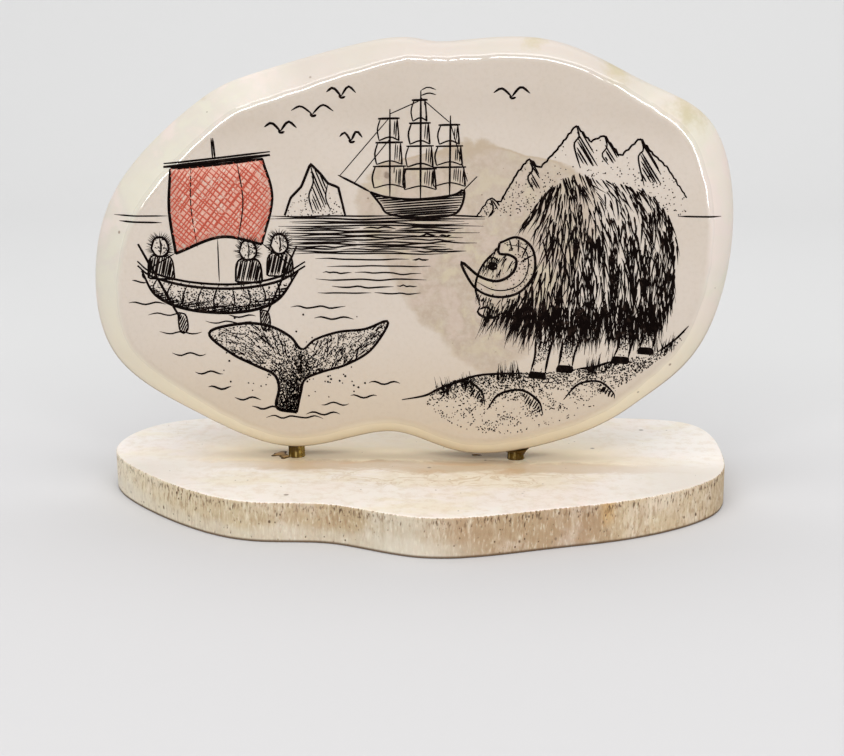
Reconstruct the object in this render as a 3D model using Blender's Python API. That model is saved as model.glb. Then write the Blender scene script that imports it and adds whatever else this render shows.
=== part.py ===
"""Scrimshaw ivory panel: a polished slice of walrus tusk that stands upright on a bone slab.

Two short brass pins carry the slice. Each sits in a drilled socket in the slab's top and another
in the slice's lower edge. Metres, +Z up. The face looks along -Y, and the origin is at the middle
of the slab's underside.
"""

import math

import bmesh
import bpy
import numpy as np

MM = 0.001

# Base slab: a saw-cut piece of bone with a softened top edge.
BASE_THICKNESS = 5.0 * MM
BASE_TOP_EDGE = 0.4 * MM
BASE_FOOT_EDGE = 0.2 * MM
# Outline from above as (x, y), counterclockwise from the left end. The front edge dips in to the
# left of its middle, and the back is a gentler curve.
BASE_OUTLINE_MM = [
    (-40.8, 6.4), (-34.7, -5.6), (-20.7, -17.1), (-8.7, -18.3),
    (3.3, -22.8), (16.8, -19.4), (28.3, -14.8), (38.3, -6.3),
    (40.9, 5.2), (38.9, 19.0), (28.3, 22.6), (15.3, 22.8),
    (2.3, 22.6), (-10.7, 22.3), (-23.7, 21.6), (-36.3, 18.0),
]

# Tusk slice: two lobes, with a shallow dip between them at the top and a deeper one below.
PANEL_THICKNESS = 8.0 * MM
PANEL_MIDDLE_Y = 1.7 * MM
# Outline from the front as (x, z, rim), counterclockwise from the left end. The rim is how far in
# from the outline the flat face ends. It is widest at the upper left, and narrowest at the top
# right and along the bottom.
PANEL_OUTLINE_MM = [
    (-40.7, 31.3, 4.8), (-38.9, 18.9, 4.4), (-28.3, 11.1, 3.5),
    (-15.3, 6.6, 3.0), (-2.8, 8.8, 3.0), (7.7, 6.0, 3.0),
    (22.0, 8.8, 3.1), (30.2, 13.8, 3.2), (37.1, 20.9, 3.6),
    (40.4, 34.8, 3.8), (37.6, 48.0, 4.2), (28.9, 53.5, 2.8),
    (16.8, 58.6, 3.1), (4.2, 58.4, 2.9), (-3.0, 58.8, 3.6),
    (-18.0, 55.1, 4.3), (-26.4, 51.4, 4.6), (-36.1, 42.5, 5.0),
]

# The slice's edge, from the flat face round to the flat back. The face turns over a rounded
# shoulder, and the rim outside it falls away in a convex curve to the slice's full outline.
RIM_DEPTH = 3.4 * MM
SHOULDER_RADIUS = 2.0 * MM
SHOULDER_TURN = math.radians(32.0)
BACK_RADIUS = 1.2 * MM

# Brass pins
PIN_RADIUS = 1.1 * MM
PIN_EDGE = 0.15 * MM
PIN_XS = {"pin_left": -15.4 * MM, "pin_right": 13.6 * MM}
PIN_FOOT_Z = 2.5 * MM
PIN_TOP_Z = 11.0 * MM
SOCKET_CLEARANCE = 0.3 * MM

# How finely round shapes are cut
STEPS_PER_POINT = 8
SHOULDER_ROWS = 3
RIM_ROWS = 5
EDGE_ROWS = 3
PIN_SIDES = 24
SMOOTH_BELOW = math.radians(35.0)


def clear_scene():
    for thing in list(bpy.data.objects):
        bpy.data.objects.remove(thing)


def make_material(name, colour, roughness, metallic=0.0):
    material = bpy.data.materials.new(name)
    material.use_nodes = True
    shader = material.node_tree.nodes["Principled BSDF"]
    shader.inputs["Base Color"].default_value = (*colour, 1.0)
    shader.inputs["Roughness"].default_value = roughness
    shader.inputs["Metallic"].default_value = metallic
    return material


def closed_curve(points, steps):
    """A smooth closed curve through the points: the periodic cubic spline with even knots.

    The spline's tangents solve t[i-1] + 4 t[i] + t[i+1] = 3 (p[i+1] - p[i-1]) round the loop,
    which a Fourier transform turns into one division.
    """
    points = np.array(points, dtype=float)
    count = len(points)
    after = np.roll(points, -1, axis=0)
    right_side = 3.0 * (after - np.roll(points, 1, axis=0))
    weights = 4.0 + 2.0 * np.cos(2.0 * np.pi * np.arange(count) / count)
    tangents = np.fft.ifft(np.fft.fft(right_side, axis=0) / weights[:, None], axis=0).real
    t = (np.arange(steps) / steps)[None, :, None]
    curve = (
        (2 * t**3 - 3 * t**2 + 1) * points[:, None]
        + (t**3 - 2 * t**2 + t) * tangents[:, None]
        + (3 * t**2 - 2 * t**3) * after[:, None]
        + (t**3 - t**2) * np.roll(tangents, -1, axis=0)[:, None]
    )
    return curve.reshape(-1, points.shape[1])


def outward_normals(outline):
    """Unit normals of a counterclockwise outline, pointing out of it."""
    along = np.roll(outline, -1, axis=0) - np.roll(outline, 1, axis=0)
    normals = np.stack([along[:, 1], -along[:, 0]], axis=1)
    return normals / np.linalg.norm(normals, axis=1, keepdims=True)


def skin_rings(name, rings, material):
    """One closed mesh through a stack of equal rings, with a flat cap on the first and last.

    The caps are shaded flat, so that they don't tilt the shading of the rows beside them.
    """
    mesh = bpy.data.meshes.new(name)
    build = bmesh.new()
    loops = [[build.verts.new(place) for place in ring] for ring in rings]
    count = len(loops[0])
    for lower, upper in zip(loops, loops[1:]):
        for i in range(count):
            j = (i + 1) % count
            build.faces.new((lower[i], lower[j], upper[j], upper[i]))
    build.faces.new(loops[0])
    build.faces.new(loops[-1])
    bmesh.ops.recalc_face_normals(build, faces=build.faces)
    build.to_mesh(mesh)
    build.free()
    mesh.materials.append(material)
    mesh.shade_smooth()
    for face in mesh.polygons:
        face.use_smooth = len(face.vertices) == 4
    mesh.set_sharp_from_angle(angle=SMOOTH_BELOW)
    thing = bpy.data.objects.new(name, mesh)
    bpy.context.scene.collection.objects.link(thing)
    return thing


def rounded_edge(radius):
    """(inset, height) pairs up a quarter circle, from a wall's top to the flat above it."""
    turns = np.linspace(0.0, math.pi / 2, EDGE_ROWS + 1)
    return [(radius * (1 - math.cos(turn)), radius * math.sin(turn)) for turn in turns]


def make_base(material):
    """The slab: its outline carried up, drawn in along the foot and round the top edge."""
    outline = closed_curve(BASE_OUTLINE_MM, STEPS_PER_POINT) * MM
    normals = outward_normals(outline)
    wall_top = BASE_THICKNESS - BASE_TOP_EDGE
    levels = [(BASE_FOOT_EDGE, 0.0), (0.0, BASE_FOOT_EDGE)]
    levels += [(inset, wall_top + rise) for inset, rise in rounded_edge(BASE_TOP_EDGE)]
    rings = []
    for inset, z in levels:
        flat = outline - normals * inset
        rings.append(np.column_stack([flat, np.full(len(flat), z)]))
    return skin_rings("base", rings, material)


def panel_edge(width):
    """(inset, depth) rows from the face's edge to the back's edge, for a rim of this width.

    The shoulder is an arc. The rim is a quadratic curve that leaves the shoulder along its
    tangent and meets the side wall along the wall. The back's edge is a quarter circle.
    """
    turns = np.linspace(0.0, SHOULDER_TURN, SHOULDER_ROWS + 1)
    rows = [
        (width - SHOULDER_RADIUS * math.sin(turn), SHOULDER_RADIUS * (1 - math.cos(turn)))
        for turn in turns
    ]
    start_inset, start_depth = rows[-1]
    corner_depth = start_depth + start_inset * math.tan(SHOULDER_TURN)
    for t in np.linspace(0.0, 1.0, RIM_ROWS + 1)[1:]:
        inset = (1 - t) ** 2 * start_inset
        depth = (1 - t) ** 2 * start_depth + 2 * t * (1 - t) * corner_depth + t**2 * RIM_DEPTH
        rows.append((inset, depth))
    wall_end = PANEL_THICKNESS - BACK_RADIUS
    rows += [(inset, wall_end + rise) for inset, rise in rounded_edge(BACK_RADIUS)]
    return rows


def make_panel(material):
    """The slice: rings that follow the edge's rows, each the outline drawn in by its inset."""
    curve = closed_curve(PANEL_OUTLINE_MM, STEPS_PER_POINT) * MM
    outline = curve[:, :2]
    rim_width = curve[:, 2]
    normals = outward_normals(outline)
    face_y = PANEL_MIDDLE_Y - PANEL_THICKNESS / 2
    rings = []
    for inset, depth in panel_edge(rim_width):
        flat = outline - normals * np.broadcast_to(inset, len(outline))[:, None]
        y = face_y + np.broadcast_to(depth, len(outline))
        rings.append(np.column_stack([flat[:, 0], y, flat[:, 1]]))
    return skin_rings("panel", rings, material)


def make_upright_cylinder(name, x, radius, foot_z, top_z):
    bpy.ops.mesh.primitive_cylinder_add(
        vertices=PIN_SIDES,
        radius=radius,
        depth=top_z - foot_z,
        location=(x, PANEL_MIDDLE_Y, (foot_z + top_z) / 2),
    )
    cylinder = bpy.context.object
    cylinder.name = name
    return cylinder


def make_pin(name, x, material):
    pin = make_upright_cylinder(name, x, PIN_RADIUS, PIN_FOOT_Z, PIN_TOP_Z)
    pin.data.materials.append(material)
    pin.data.shade_smooth()
    pin.data.set_sharp_from_angle(angle=SMOOTH_BELOW)
    bevel = pin.modifiers.new("broken edges", "BEVEL")
    bevel.width = PIN_EDGE
    bevel.segments = 1
    return pin


def drill_socket(name, x, drilled):
    """Cuts a clearance hole for a pin, a little longer than the pin at both ends."""
    cutter = make_upright_cylinder(
        name,
        x,
        PIN_RADIUS + SOCKET_CLEARANCE,
        PIN_FOOT_Z - SOCKET_CLEARANCE,
        PIN_TOP_Z + SOCKET_CLEARANCE,
    )
    cutter.hide_render = True
    cutter.display_type = "WIRE"
    for thing in drilled:
        cut = thing.modifiers.new(name, "BOOLEAN")
        cut.operation = "DIFFERENCE"
        cut.solver = "EXACT"
        cut.object = cutter


clear_scene()
ivory = make_material("ivory", (0.66, 0.57, 0.46), 0.15)
bone = make_material("bone", (0.78, 0.69, 0.55), 0.55)
brass = make_material("brass", (0.30, 0.19, 0.08), 0.40, metallic=1.0)
base = make_base(bone)
panel = make_panel(ivory)
for pin_name, pin_x in PIN_XS.items():
    make_pin(pin_name, pin_x, brass)
    drill_socket(f"socket_for_{pin_name}", pin_x, (base, panel))
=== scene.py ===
"""Scrimshaw ivory panel on a bone base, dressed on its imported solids. Metres, +Z up, face to -Y."""

import bpy
import numpy as np
from mathutils import Matrix, Vector


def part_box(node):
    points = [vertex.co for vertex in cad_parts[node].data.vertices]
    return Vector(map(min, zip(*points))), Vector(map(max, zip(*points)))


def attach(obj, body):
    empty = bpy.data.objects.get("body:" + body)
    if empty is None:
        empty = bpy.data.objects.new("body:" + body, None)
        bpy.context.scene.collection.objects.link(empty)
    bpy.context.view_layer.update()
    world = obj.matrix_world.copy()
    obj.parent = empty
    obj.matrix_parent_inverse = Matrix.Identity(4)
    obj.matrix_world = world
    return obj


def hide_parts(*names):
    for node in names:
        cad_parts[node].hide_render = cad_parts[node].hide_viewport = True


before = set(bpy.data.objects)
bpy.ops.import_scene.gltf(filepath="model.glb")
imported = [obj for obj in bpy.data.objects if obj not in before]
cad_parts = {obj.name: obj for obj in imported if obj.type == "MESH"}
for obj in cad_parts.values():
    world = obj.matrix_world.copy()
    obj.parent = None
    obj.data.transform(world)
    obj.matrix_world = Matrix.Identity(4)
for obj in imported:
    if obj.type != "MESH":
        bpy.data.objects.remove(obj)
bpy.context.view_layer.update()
MM = 0.001


# ---------------------------------------------------------------------------------------------
# Ivory slice. A cross-cut slice of walrus tusk, ground flat and polished on its face: pale outer
# ivory round a core of mottled tan dentine. Its rim is the tusk's own outer layer, rounded over
# by hand. It stands on its lower edge, held by two pins.

SLICE_CENTRE = np.array([0.0, 33.0]) * MM
SLICE_BACK_RADIUS = 1.2 * MM
SLICE_RIM_DEPTH = 3.4 * MM
SLICE_SHOULDER = 2.0 * MM
SLICE_SHOULDER_TURN = np.radians(32.0)
SHOULDER_RUN = SLICE_SHOULDER * np.sin(SLICE_SHOULDER_TURN)
SLICE_RIM_WAVE = 0.08 * MM
SLICE_RIM_WOBBLE = 0.055 * MM
SLICE_COLUMNS = 1200
FACE_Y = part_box("panel")[0].y
BACK_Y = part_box("panel")[1].y
MARK_INSIDE, MARK_BEHIND = 20.0, 8.0

FACE_COLOUR = (0.548, 0.474, 0.403, 1)
FACE_LOW_COLOUR = (0.50, 0.405, 0.30, 1)
CORE_COLOUR = (0.445, 0.362, 0.274, 1)
CORE_DARK_COLOUR = (0.37, 0.28, 0.20, 1)
CORE_YELLOW_COLOUR = (0.50, 0.425, 0.27, 1)
CORE_PINK_COLOUR = (0.50, 0.39, 0.32, 1)
CORE_BORDER_COLOUR = (0.37, 0.27, 0.16, 1)
CORE_HALF_WIDTH = 16.5 * MM
CORE_RAMP_HEIGHT = 60 * MM
CORE_WIDTHS = [(0.29, 0), (0.33, 0.25), (0.40, 0.5), (0.52, 0.72), (0.63, 0.95), (0.73, 0.72), (0.765, 0)]
CORE_LOW, CORE_HIGH = 17.5 * MM, 45.4 * MM
CORE_FRAY = 5 * MM
RIM_COLOUR = (0.67, 0.605, 0.53, 1)
RIM_PINK_COLOUR = (0.69, 0.59, 0.54, 1)
RIM_YELLOW_COLOUR = (0.63, 0.60, 0.495, 1)
RIM_LEFT_COLOUR = (0.60, 0.555, 0.48, 1)
RIM_LOW_YELLOW_AND_PAINTED_LIGHT_COLOUR = (0.74, 0.655, 0.49, 1)
RIM_TOP_PAINTED_SHADE_COLOUR = (0.50, 0.44, 0.385, 1)
RIM_STAIN_COLOUR = (0.44, 0.37, 0.18, 1)
RIM_STAINS = [(15.2, 57.9, 2.2), (25.1, 54.4, 3.5), (33.6, 49.2, 4.0), (-27.0, 53.0, 2.0)]
UNDER_EDGE_SHADE_COLOUR = (0.24, 0.14, 0.06, 1)
SPECK_COLOUR = (0.15, 0.09, 0.05, 1)


def level_ring(name, axis, level, centre):
    """The corners of a CAD node on one level of an axis, in order of angle round a centre."""
    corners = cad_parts[name].data.vertices
    places = np.empty(len(corners) * 3, np.float32)
    corners.foreach_get("co", places)
    places = places.reshape(-1, 3).astype(float)
    flat = np.delete(places[np.abs(places[:, axis] - level) < 0.01 * MM], axis, axis=1)
    flat = np.unique(np.round(flat / MM, 3), axis=0) * MM
    return flat[np.argsort(np.arctan2(*(flat - centre).T[::-1]))]


def smooth_loop(points, steps):
    """The periodic cubic spline through a closed ring of points, with even knots.

    Hermite spans whose tangents T solve T[i-1] + 4 T[i] + T[i+1] = 3 (P[i+1] - P[i-1]), a
    circulant system that the Fourier transform turns into a division.
    """
    count = len(points)
    after = np.roll(points, -1, axis=0)
    right_side = 3.0 * (after - np.roll(points, 1, axis=0))
    weights = 4.0 + 2.0 * np.cos(2.0 * np.pi * np.arange(count) / count)
    tangents = np.fft.ifft(np.fft.fft(right_side, axis=0) / weights[:, None], axis=0).real
    t = (np.arange(steps) / steps)[None, :, None]
    curve = (2 * t**3 - 3 * t**2 + 1) * points[:, None] + (t**3 - 2 * t**2 + t) * tangents[:, None]
    curve += (3 * t**2 - 2 * t**3) * after[:, None]
    curve += (t**3 - t**2) * np.roll(tangents, -1, axis=0)[:, None]
    return curve.reshape(-1, 2)


def loop_normals(loop):
    """Unit normals of a counterclockwise loop, pointing out of it."""
    along = np.roll(loop, -1, axis=0) - np.roll(loop, 1, axis=0)
    normals = np.stack([along[:, 1], -along[:, 0]], axis=1)
    return normals / np.linalg.norm(normals, axis=1, keepdims=True)


def waves(rng, count, knots):
    """Periodic random values from -1 to 1, smooth between evenly spaced knots."""
    values = rng.uniform(-1, 1, (knots, 1))
    line = smooth_loop(np.column_stack([values, values]), -(-count // knots))[:, 0]
    return np.interp(np.arange(count) / count, np.arange(len(line)) / len(line), line, period=1.0)


def grid_faces(rows, columns, spans):
    """Quads over a number of spans between the rows of a grid whose columns close round."""
    row, column = np.meshgrid(np.arange(spans), np.arange(columns), indexing="ij")
    here, there = row * columns, (row + 1) % rows * columns
    after = (column + 1) % columns
    return np.stack([here + column, here + after, there + after, there + column], axis=-1).reshape(-1, 4)


def capped_grid(rings):
    """Places and triangles of a closed skin: rings joined by quads and closed by two fans."""
    rows, columns = rings.shape[:2]
    quads = grid_faces(rows, columns, rows - 1)
    here = np.arange(columns)
    after, last, count = (here + 1) % columns, (rows - 1) * columns, rows * columns
    caps = [np.stack([after, here, 0 * here + count], axis=1),
            np.stack([last + here, last + after, 0 * here + count + 1], axis=1)]
    middles = np.stack([rings[0].mean(axis=0), rings[-1].mean(axis=0)])
    places = np.concatenate([rings.reshape(-1, 3), middles])
    return places, np.concatenate([quads[:, [0, 1, 2]], quads[:, [0, 2, 3]], *caps])


def mesh_piece(name, places, faces, smooth=True, marks=()):
    """A mesh object from places and from faces of one size, with named values at its places."""
    faces = np.asarray(faces)
    mesh = bpy.data.meshes.new(name)
    mesh.vertices.add(len(places))
    mesh.vertices.foreach_set("co", np.asarray(places, np.float32).ravel())
    mesh.loops.add(faces.size)
    mesh.loops.foreach_set("vertex_index", faces.ravel().astype(np.int32))
    mesh.polygons.add(len(faces))
    mesh.polygons.foreach_set("loop_start", np.arange(len(faces), dtype=np.int32) * faces.shape[1])
    mesh.update(calc_edges=True)
    if smooth:
        mesh.shade_smooth()
    for mark, values in dict(marks).items():
        layer = mesh.attributes.new(mark, "FLOAT", "POINT")
        layer.data.foreach_set("value", np.asarray(values, np.float32).ravel())
    thing = bpy.data.objects.new(name, mesh)
    bpy.context.scene.collection.objects.link(thing)
    return thing


slice_loop = smooth_loop(level_ring("panel", 1, BACK_Y - SLICE_BACK_RADIUS, SLICE_CENTRE), 12)
crease_loop = smooth_loop(level_ring("panel", 1, FACE_Y, SLICE_CENTRE), 12)
slice_rim = np.linalg.norm(slice_loop[:, None] - crease_loop[None], axis=2).min(axis=1)
rim_rng = np.random.default_rng(31)
slice_rim += SLICE_RIM_WAVE * waves(rim_rng, len(slice_rim), 24)
slice_rim += SLICE_RIM_WOBBLE * waves(rim_rng, len(slice_rim), 150)
slice_out = loop_normals(slice_loop)
slice_turn = np.arctan2(*(slice_loop - SLICE_CENTRE).T[::-1])
slice_order = np.argsort(slice_turn)


def round_slice(turn, values):
    """A value known along the slice's outline, read at any angle round its centre."""
    return np.interp(turn, slice_turn[slice_order], values[slice_order], period=2 * np.pi)


def slice_edge(turn):
    """At an angle: the outline's reach, the cosine between ray and normal, and the rim's width.

    The width is the distance from the outline to the solid's crease, with the slow waves and the
    fine wobble of a rim ground by hand.
    """
    reach = round_slice(turn, np.linalg.norm(slice_loop - SLICE_CENTRE, axis=1))
    across, upward = round_slice(turn, slice_out[:, 0]), round_slice(turn, slice_out[:, 1])
    return reach, np.cos(turn) * across + np.sin(turn) * upward, round_slice(turn, slice_rim)


def front_depth(inset, width):
    """How far the front lies behind the face's plane, at a distance in from the outline.

    Nothing on the flat face, then R - sqrt(R^2 - s^2) over the shoulder, then a quadratic curve
    that leaves the shoulder along its tangent and ends along the side wall.
    """
    drop = SLICE_SHOULDER * (1 - np.cos(SLICE_SHOULDER_TURN))
    past = np.clip(width - inset, 0.0, SHOULDER_RUN)
    shoulder = SLICE_SHOULDER - np.sqrt(SLICE_SHOULDER**2 - past**2)
    t = 1 - np.sqrt(np.clip(inset / (width - SHOULDER_RUN), 0.0, 1.0))
    corner = drop + (width - SHOULDER_RUN) * np.tan(SLICE_SHOULDER_TURN)
    rim = (1 - t) ** 2 * drop + 2 * t * (1 - t) * corner + t**2 * SLICE_RIM_DEPTH
    return np.where(inset < width - SHOULDER_RUN, rim, shoulder)


def slice_grid():
    """Rings from the middle of the face out over the rim, along the wall and in over the back.

    A ring lies at c + (reach - inset / lean) * (cos, sin) of the angle; beside the rings come the
    distances past the crease, negative on the flat face, and in from the edge, in millimetres.
    """
    turn = np.linspace(0, 2 * np.pi, SLICE_COLUMNS, endpoint=False)
    reach, lean, width = slice_edge(turn)
    middle = reach * lean
    front = [middle - (middle - width) * share for share in (0.05, 0.3, 0.6, 0.85)]
    front += [width - SHOULDER_RUN * share for share in np.linspace(0, 1, 13)]
    front += [(width - SHOULDER_RUN) * (1 - t) ** 2 for t in np.linspace(0, 1, 19)[1:]]
    front = np.array(front)
    bend = np.linspace(0, np.pi / 2, 9)[:, None]
    edge = SLICE_BACK_RADIUS * (1 - np.cos(bend)) + 0 * turn
    wall = BACK_Y - SLICE_BACK_RADIUS * (1 - np.sin(bend)) + 0 * turn
    back = middle * np.array([0.3, 0.6, 0.95])[:, None]
    inset = np.concatenate([front, edge, back])
    y = np.concatenate([FACE_Y + front_depth(front, width), wall, BACK_Y + 0 * back])
    far = reach - inset / lean
    x, z = SLICE_CENTRE[0] + far * np.cos(turn), SLICE_CENTRE[1] + far * np.sin(turn)
    past = (width - inset) / MM
    past[len(front):] = MARK_BEHIND
    return np.stack([x, y, z], axis=-1), past, inset / MM


class Field:
    """A value or colour over a surface: an output in a node tree, to which arithmetic adds nodes."""

    def __init__(self, socket):
        self.socket, self.tree = socket, socket.id_data

    def __add__(self, other):
        return maths("ADD", self, other)

    def __sub__(self, other):
        return maths("SUBTRACT", self, other)

    def __rsub__(self, other):
        return maths("SUBTRACT", other, self)

    def __mul__(self, other):
        return maths("MULTIPLY", self, other)

    def __truediv__(self, other):
        return maths("DIVIDE", self, other)

    def __abs__(self):
        return maths("ABSOLUTE", self)

    __radd__, __rmul__ = __add__, __mul__

    def step(self, low, high, top=1.0, bottom=0.0):
        """A smooth step from bottom to top as the value goes from low to high."""
        ends = {"Value": self, "From Min": low, "From Max": high, "To Min": bottom, "To Max": top}
        return node(self.tree, "MapRange", "Result", ends, interpolation_type="SMOOTHSTEP")

    def beside(self, output):
        """Another output of the same node."""
        return Field(self.socket.node.outputs[output])


def node(tree, kind, output, inputs=(), **settings):
    """An output of a new node of a kind; of its inputs a field is linked and the rest are set."""
    made = tree.nodes.new("ShaderNode" + kind)
    for name, value in settings.items():
        setattr(made, name, value)
    for key, value in dict(inputs).items():
        if isinstance(value, Field):
            tree.links.new(value.socket, made.inputs[key])
        else:
            made.inputs[key].default_value = value
    return Field(made.outputs[output])


def maths(operation, *values):
    """The result of a maths node, in the tree of the fields among its values."""
    tree = next(value.tree for value in values if isinstance(value, Field))
    return node(tree, "Math", 0, enumerate(values), operation=operation)


def highest(first, second):
    """The higher of two values."""
    return maths("MAXIMUM", first, second)


def noise(where, scale, detail=3.0, rough=0.55, warp=0.0):
    """Noise from 0 to 1 at a scale in periods per metre."""
    inputs = {"Vector": where, "Scale": scale, "Detail": detail, "Roughness": rough, "Distortion": warp}
    return node(where.tree, "TexNoise", "Fac", inputs)


def ramp(value, stops, interpolation="LINEAR"):
    """A colour that a value reads from stops, each a place and a tone."""
    colour = node(value.tree, "ValToRGB", "Color", {"Fac": value})
    band = colour.socket.node.color_ramp
    band.interpolation = interpolation
    for k, (place, tone) in enumerate(stops):
        stop = band.elements[k] if k < 2 else band.elements.new(place)
        stop.position, stop.color = place, tone
    return colour


def painted(colour, *coats):
    """A colour under coats of others, each laid on where its mask is one."""
    for mask, coat in coats:
        colour = node(mask.tree, "Mix", 2, {0: mask, 6: colour, 7: coat}, data_type="RGBA")
    return colour


def split(vector):
    """The three parts of a vector or colour field."""
    x = node(vector.tree, "SeparateXYZ", 0, {"Vector": vector})
    return x, x.beside(1), x.beside(2)


def new_material(name):
    """An empty node material and the Object coordinates of the piece that wears it."""
    material = bpy.data.materials.new(name)
    material.use_nodes = True
    material.node_tree.nodes.clear()
    return material, node(material.node_tree, "TexCoord", "Object")


def attribute(where, name):
    """The value a piece carries at its places under a name."""
    return node(where.tree, "Attribute", "Fac", attribute_name=name)


def shaded(material, inputs):
    """The material with a Principled shader of these inputs."""
    tree = material.node_tree
    shader = node(tree, "BsdfPrincipled", 0, inputs)
    tree.links.new(shader.socket, tree.nodes.new("ShaderNodeOutputMaterial").inputs["Surface"])
    return material


def speck_pattern():
    """A node group of round spots in a share of the cells of a Voronoi pattern, each of its size."""
    group = bpy.data.node_groups.new("specks", "ShaderNodeTree")
    for label, kind in (("Where", "Vector"), ("Scale", "Float"), ("Share", "Float")):
        group.interface.new_socket(label, in_out="INPUT", socket_type="NodeSocket" + kind)
    group.interface.new_socket("Mask", in_out="OUTPUT", socket_type="NodeSocketFloat")
    where, scale, share = (Field(socket) for socket in group.nodes.new("NodeGroupInput").outputs[:3])
    distance = node(group, "TexVoronoi", "Distance", {"Vector": where, "Scale": scale})
    random = node(group, "SeparateColor", 0, {"Color": distance.beside("Color")})
    size = 0.16 * random.beside(1) + 0.06
    mask = maths("LESS_THAN", random, share) * distance.step(size, size * 0.5)
    group.links.new(mask.socket, group.nodes.new("NodeGroupOutput").inputs[0])
    return group


SPECKS = speck_pattern()


def specks(where, scale, share):
    """A mask of spots in a share of the cells of a pattern."""
    inputs = {"Where": where, "Scale": scale, "Share": share}
    return node(where.tree, "Group", "Mask", inputs, node_tree=SPECKS)


def ivory_material():
    """Polished ivory: tan core, pale rim with brown stains, and painted light and shade on the rim.

    The rim's top is painted darker, painted shade where it faces the overhead lamps. Its lower part is
    yellow, partly the ivory's own tint and partly painted light on the downward-facing edge. A dark
    line along the lower edge is painted shade of the underside. The core's half width is read from a
    ramp over the height and its border moved by noise; the rim begins at the crease, where the
    piece's distance past it turns positive.
    """
    material, where = new_material("polished_ivory")
    x, y, z = split(where)
    past, inset = attribute(where, "past_crease"), attribute(where, "from_edge")
    widths = [(place, (share, share, share, 1)) for place, share in CORE_WIDTHS]
    half = CORE_HALF_WIDTH * ramp(z / CORE_RAMP_HEIGHT, widths, "B_SPLINE")
    beyond = abs(x - (11.6 * MM - 0.08 * z)) - half
    beyond = highest(beyond, highest(z - CORE_HIGH, CORE_LOW - z))
    beyond = beyond + (CORE_FRAY * noise(where, 260, 5, 0.6) - CORE_FRAY / 2)
    core = beyond.step(1.0 * MM, -1.0 * MM, 0.9)
    border = abs(beyond).step(1.1 * MM, 0.0) * z.step(38 * MM, 45 * MM, 0.65, 0.2)
    cloud = noise(where, 60, 2)
    patch = noise(where, 330, 4, 0.6, 0.4)
    face = painted(FACE_COLOUR, (z.step(26 * MM, 10 * MM), FACE_LOW_COLOUR),
                   (noise(where, 75, 3, 0.5).step(0.40, 0.72, 0.20), CORE_COLOUR))
    tan = painted(CORE_DARK_COLOUR, (noise(where, 900, 4, 0.7).step(0.35, 0.68), CORE_COLOUR),
                  (patch.step(0.50, 0.64, 0.6), CORE_YELLOW_COLOUR),
                  (patch.step(0.50, 0.36, 0.6), CORE_PINK_COLOUR),
                  (cloud.step(0.45, 0.75, 0.5), CORE_COLOUR))
    bent = noise(where, 900.0, 2.0, 0.5).beside("Color")
    bent = node(where.tree, "VectorMath", 0, {0: bent, 1: (0.9 * MM, 0, 0.9 * MM), 2: where},
                operation="MULTIPLY_ADD")
    dust = highest(specks(where, 1100, 0.16), specks(bent, 430, 0.13))
    colour = painted(face, (core, tan), (border, CORE_BORDER_COLOUR),
                     (noise(where, 1700, 4, 0.75).step(0.42, 0.75, 0.16), CORE_DARK_COLOUR),
                     (0.85 * dust * core, SPECK_COLOUR))
    tint = noise(where, 150, 4, 0.6, 0.4)
    # Painted shade: the rim's top, which faces the overhead lamps, is painted darker.
    crown_painted_shade = z.step(48 * MM, 56 * MM) * abs(x - 10 * MM).step(30 * MM, 22 * MM, 0.7)
    rim_colour = painted(RIM_COLOUR, (x.step(-2 * MM, -24 * MM, 0.9), RIM_LEFT_COLOUR),
                         (tint.step(0.48, 0.62, 0.7), RIM_PINK_COLOUR),
                         (tint.step(0.50, 0.38, 0.7), RIM_YELLOW_COLOUR), (crown_painted_shade, RIM_TOP_PAINTED_SHADE_COLOUR))
    ragged = noise(where, 420, 4, 0.7)
    for stain_x, stain_z, reach in RIM_STAINS:
        away = node(where.tree, "VectorMath", "Value", {0: where, 1: (stain_x * MM, 0, stain_z * MM)},
                    operation="DISTANCE")
        stain = (1.6 * reach * MM * ragged + away).step(1.75 * reach * MM, reach * MM, 0.6)
        rim_colour = painted(rim_colour, (stain, RIM_STAIN_COLOUR))
    # The lower rim's yellow is partly the ivory's own tint and partly painted light on the downward-facing
    # edge.
    rim_colour = painted(rim_colour, (z.step(32 * MM, 12 * MM), RIM_LOW_YELLOW_AND_PAINTED_LIGHT_COLOUR))
    onset = z.step(26 * MM, 44 * MM, 0.15, 0.30)
    rim = (0.4 * cloud + (past - onset) / (4.0 * onset)).step(0.15, 1.15)
    back = y.step(BACK_Y - 0.3 * MM, BACK_Y - 0.05 * MM) * (4.0 * tint + inset).step(5.0, 8.0)
    # Painted shade: a dark brown line along the slice's lower edge stands for its shaded underside.
    foot = inset.step(0.55, 0.15) * z.step(28 * MM, 15 * MM, 0.9)
    colour = painted(colour, (rim - back, rim_colour), (foot, UNDER_EDGE_SHADE_COLOUR),
                     (0.7 * specks(where, 760, 0.03), SPECK_COLOUR))
    dull = past.step(1.02, 1.25)
    return shaded(material, {
        "Base Color": colour, "Roughness": 0.40 * dull + 0.05, "IOR": 1.54,
        "Coat Weight": 1.0 - 0.88 * dull, "Coat Roughness": 0.35 * dull + 0.02, "Coat IOR": 1.6,
        "Subsurface Weight": 0.12, "Subsurface Scale": 1.5 * MM, "Subsurface Radius": (1.0, 0.7, 0.45)})


rings, past, inset = slice_grid()
places, faces = capped_grid(rings)
marks = {"past_crease": np.append(past, [-MARK_INSIDE, MARK_BEHIND]),
         "from_edge": np.append(inset, [MARK_INSIDE, MARK_INSIDE])}
ivory_slice = mesh_piece("ivory_slice", places, faces[:, ::-1], marks=marks)
ivory_slice.data.materials.append(ivory_material())
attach(ivory_slice, "root")
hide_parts("panel")


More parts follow.
